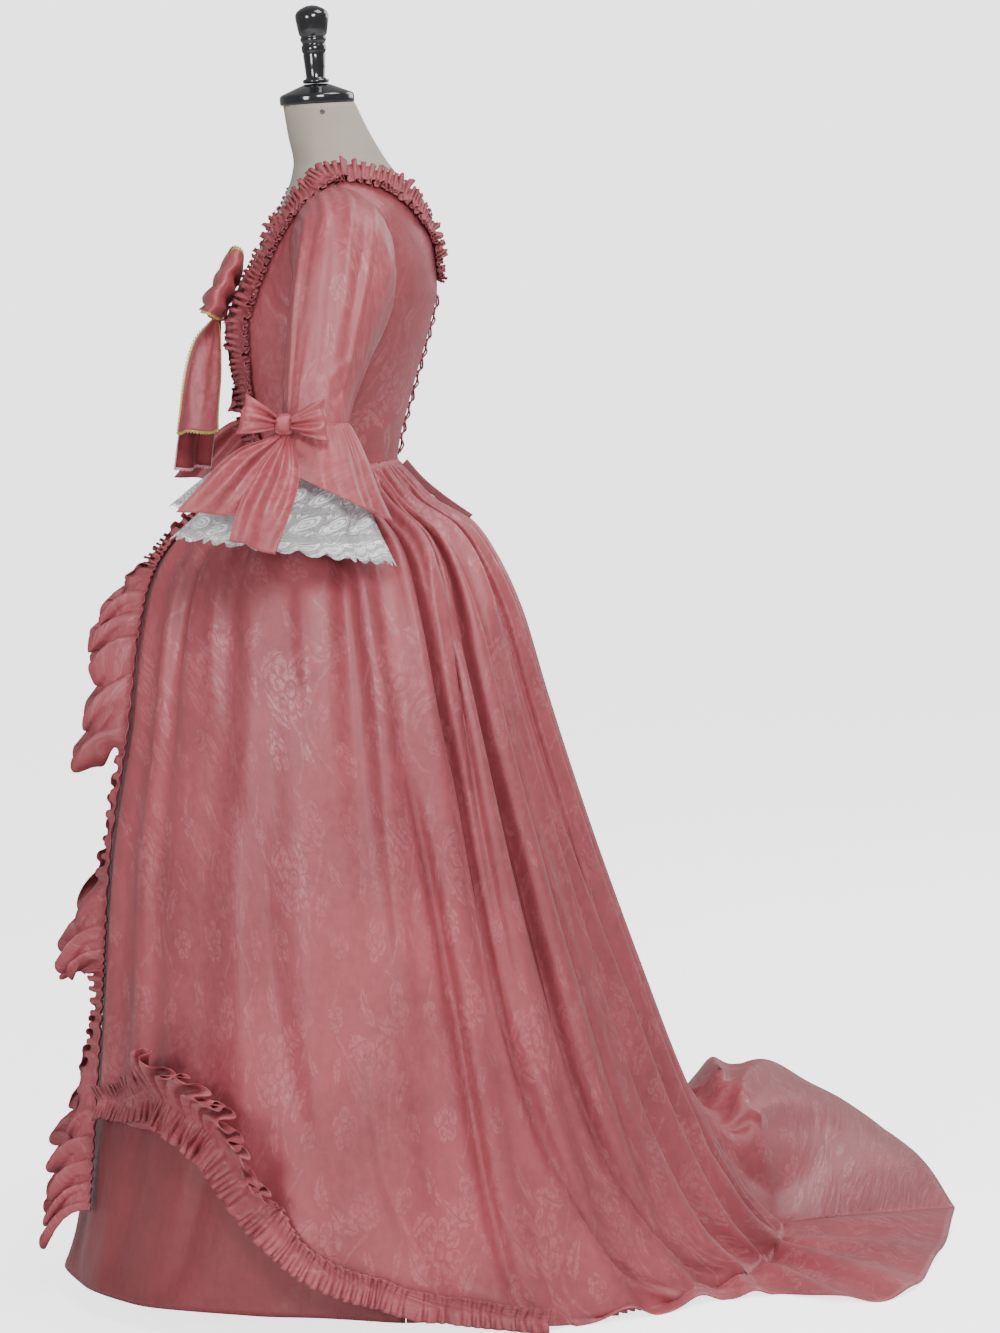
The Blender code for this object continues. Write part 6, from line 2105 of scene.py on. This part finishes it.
@dataclass
class Studio:
    """A plain pale floor, soft lights and the photograph's camera."""

    target: Point = (0.0, 0.1955, 0.802)
    azimuth_deg: float = 86.0
    elevation_deg: float = 6.0
    distance: float = 6.0
    roll_deg: float = -3.431
    lens: float = 121.65
    sensor: float = 36.0
    far_clip: float = 200.0
    sky: float = 0.34
    seen_sky: float = 7.0
    seen_floor: float = 2.4
    floor_radius: float = 16.0
    floor_rise: float = 7.0

    def build(self) -> None:
        """Make the floor, the lights and the camera."""
        self.build_floor()
        self.build_world()
        self.build_lights()
        self.build_camera()

    def build_floor(self) -> None:
        """A wide pale floor that rises softly far away."""
        turn = np.linspace(0, 2 * math.pi, 97)
        out = np.linspace(0.0, 1.0, 61)[:, None] ** 0.7
        radius = self.floor_radius * out + 0 * turn
        height = self.floor_rise * smooth_step(0.55, 1.0, out) ** 2 + 0 * turn
        grid = np.stack([radius * np.sin(turn), -radius * np.cos(turn), height], axis=-1)
        grid[:, -1] = grid[:, 0]
        floor = grid_object("studio_floor", grid, True, True)
        material, g, shader = new_material("pale_floor")
        tone = g.ramp(g.noise(g.place(), 2.0), 0.3, 0.7, 0.80, 0.83)
        colour = g.add("ShaderNodeCombineXYZ", {0: tone, 1: tone, 2: tone}).outputs[0]
        g.put(shader.inputs["Base Color"], colour)
        shader.inputs["Roughness"].default_value = 0.9
        shader.inputs["Emission Color"].default_value = (1.0, 1.0, 1.0, 1.0)
        seen = g.add("ShaderNodeLightPath").outputs["Is Camera Ray"]
        g.put(shader.inputs["Emission Strength"], g.math("MULTIPLY", seen, self.seen_floor))
        floor.data.materials.append(material)

    def build_world(self) -> None:
        """Pale light from all round."""
        world = bpy.data.worlds.new("studio_world")
        world.use_nodes = True
        g = Graph(world.node_tree)
        seen = g.add("ShaderNodeLightPath").outputs["Is Camera Ray"]
        sky = world.node_tree.nodes["Background"]
        sky.inputs["Color"].default_value = (1.0, 1.0, 1.0, 1.0)
        g.put(sky.inputs["Strength"], g.math("MULTIPLY_ADD", seen, self.seen_sky - self.sky, self.sky))
        bpy.context.scene.world = world

    def build_lights(self) -> None:
        """Large soft lamps."""
        for name, place, size, power in (
            ("key_light", (3.0, 0.5, 2.6), 1.0, 92.0),
            ("front_light", (4.0, -2.9, 2.1), 1.3, 118.0),
            ("top_light", (0.6, 1.6, 4.0), 1.6, 80.0),
            ("fill_light", (-2.5, 3.0, 2.6), 2.4, 60.0),
        ):
            lamp = bpy.data.lights.new(name, "AREA")
            lamp.energy = power
            lamp.size = size
            item = bpy.data.objects.new(name, lamp)
            item.location = place
            aim = Vector(self.target) - Vector(place)
            item.rotation_euler = aim.to_track_quat("-Z", "Y").to_euler()
            bpy.context.scene.collection.objects.link(item)

    def build_camera(self) -> None:
        """The photograph's camera."""
        angles = (self.azimuth_deg, self.elevation_deg, self.roll_deg)
        azimuth, elevation, roll = (math.radians(angle) for angle in angles)
        flat = math.cos(elevation)
        back = Vector((math.sin(azimuth) * flat, -math.cos(azimuth) * flat, math.sin(elevation)))
        level_right = (-back).cross(Vector((0, 0, 1))).normalized()
        level_up = level_right.cross(-back)
        right = level_right * math.cos(roll) + level_up * math.sin(roll)
        up = -level_right * math.sin(roll) + level_up * math.cos(roll)
        place = Vector(self.target) + back * self.distance
        camera = bpy.data.cameras.new("photo_camera")
        camera.lens = self.lens
        camera.sensor_width = self.sensor
        camera.clip_end = self.far_clip
        item = bpy.data.objects.new("photo_camera", camera)
        bpy.context.scene.collection.objects.link(item)
        item.matrix_world = Matrix(
            (
                (right.x, up.x, back.x, place.x),
                (right.y, up.y, back.y, place.y),
                (right.z, up.z, back.z, place.z),
                (0, 0, 0, 1),
            )
        )
        bpy.context.scene.camera = item


def main() -> None:
    """Build the gown, its form and the studio in order."""
    logging.basicConfig(level=logging.INFO, format="%(message)s")
    Studio().build()
    make_groups()
    finishes = Finishes()
    finishes.build()
    form = DressForm(finishes)
    form.build()
    Petticoat(finishes).build()
    overskirt = Overskirt(finishes)
    overskirt.build()
    bodice = Bodice(finishes, form)
    bodice.build()
    Sleeves(finishes, bodice).build()
    Trims(finishes, overskirt).build()
    Bows(finishes).build()
    BackLacing(finishes, bodice).build()


if __name__ == "__main__":
    main()
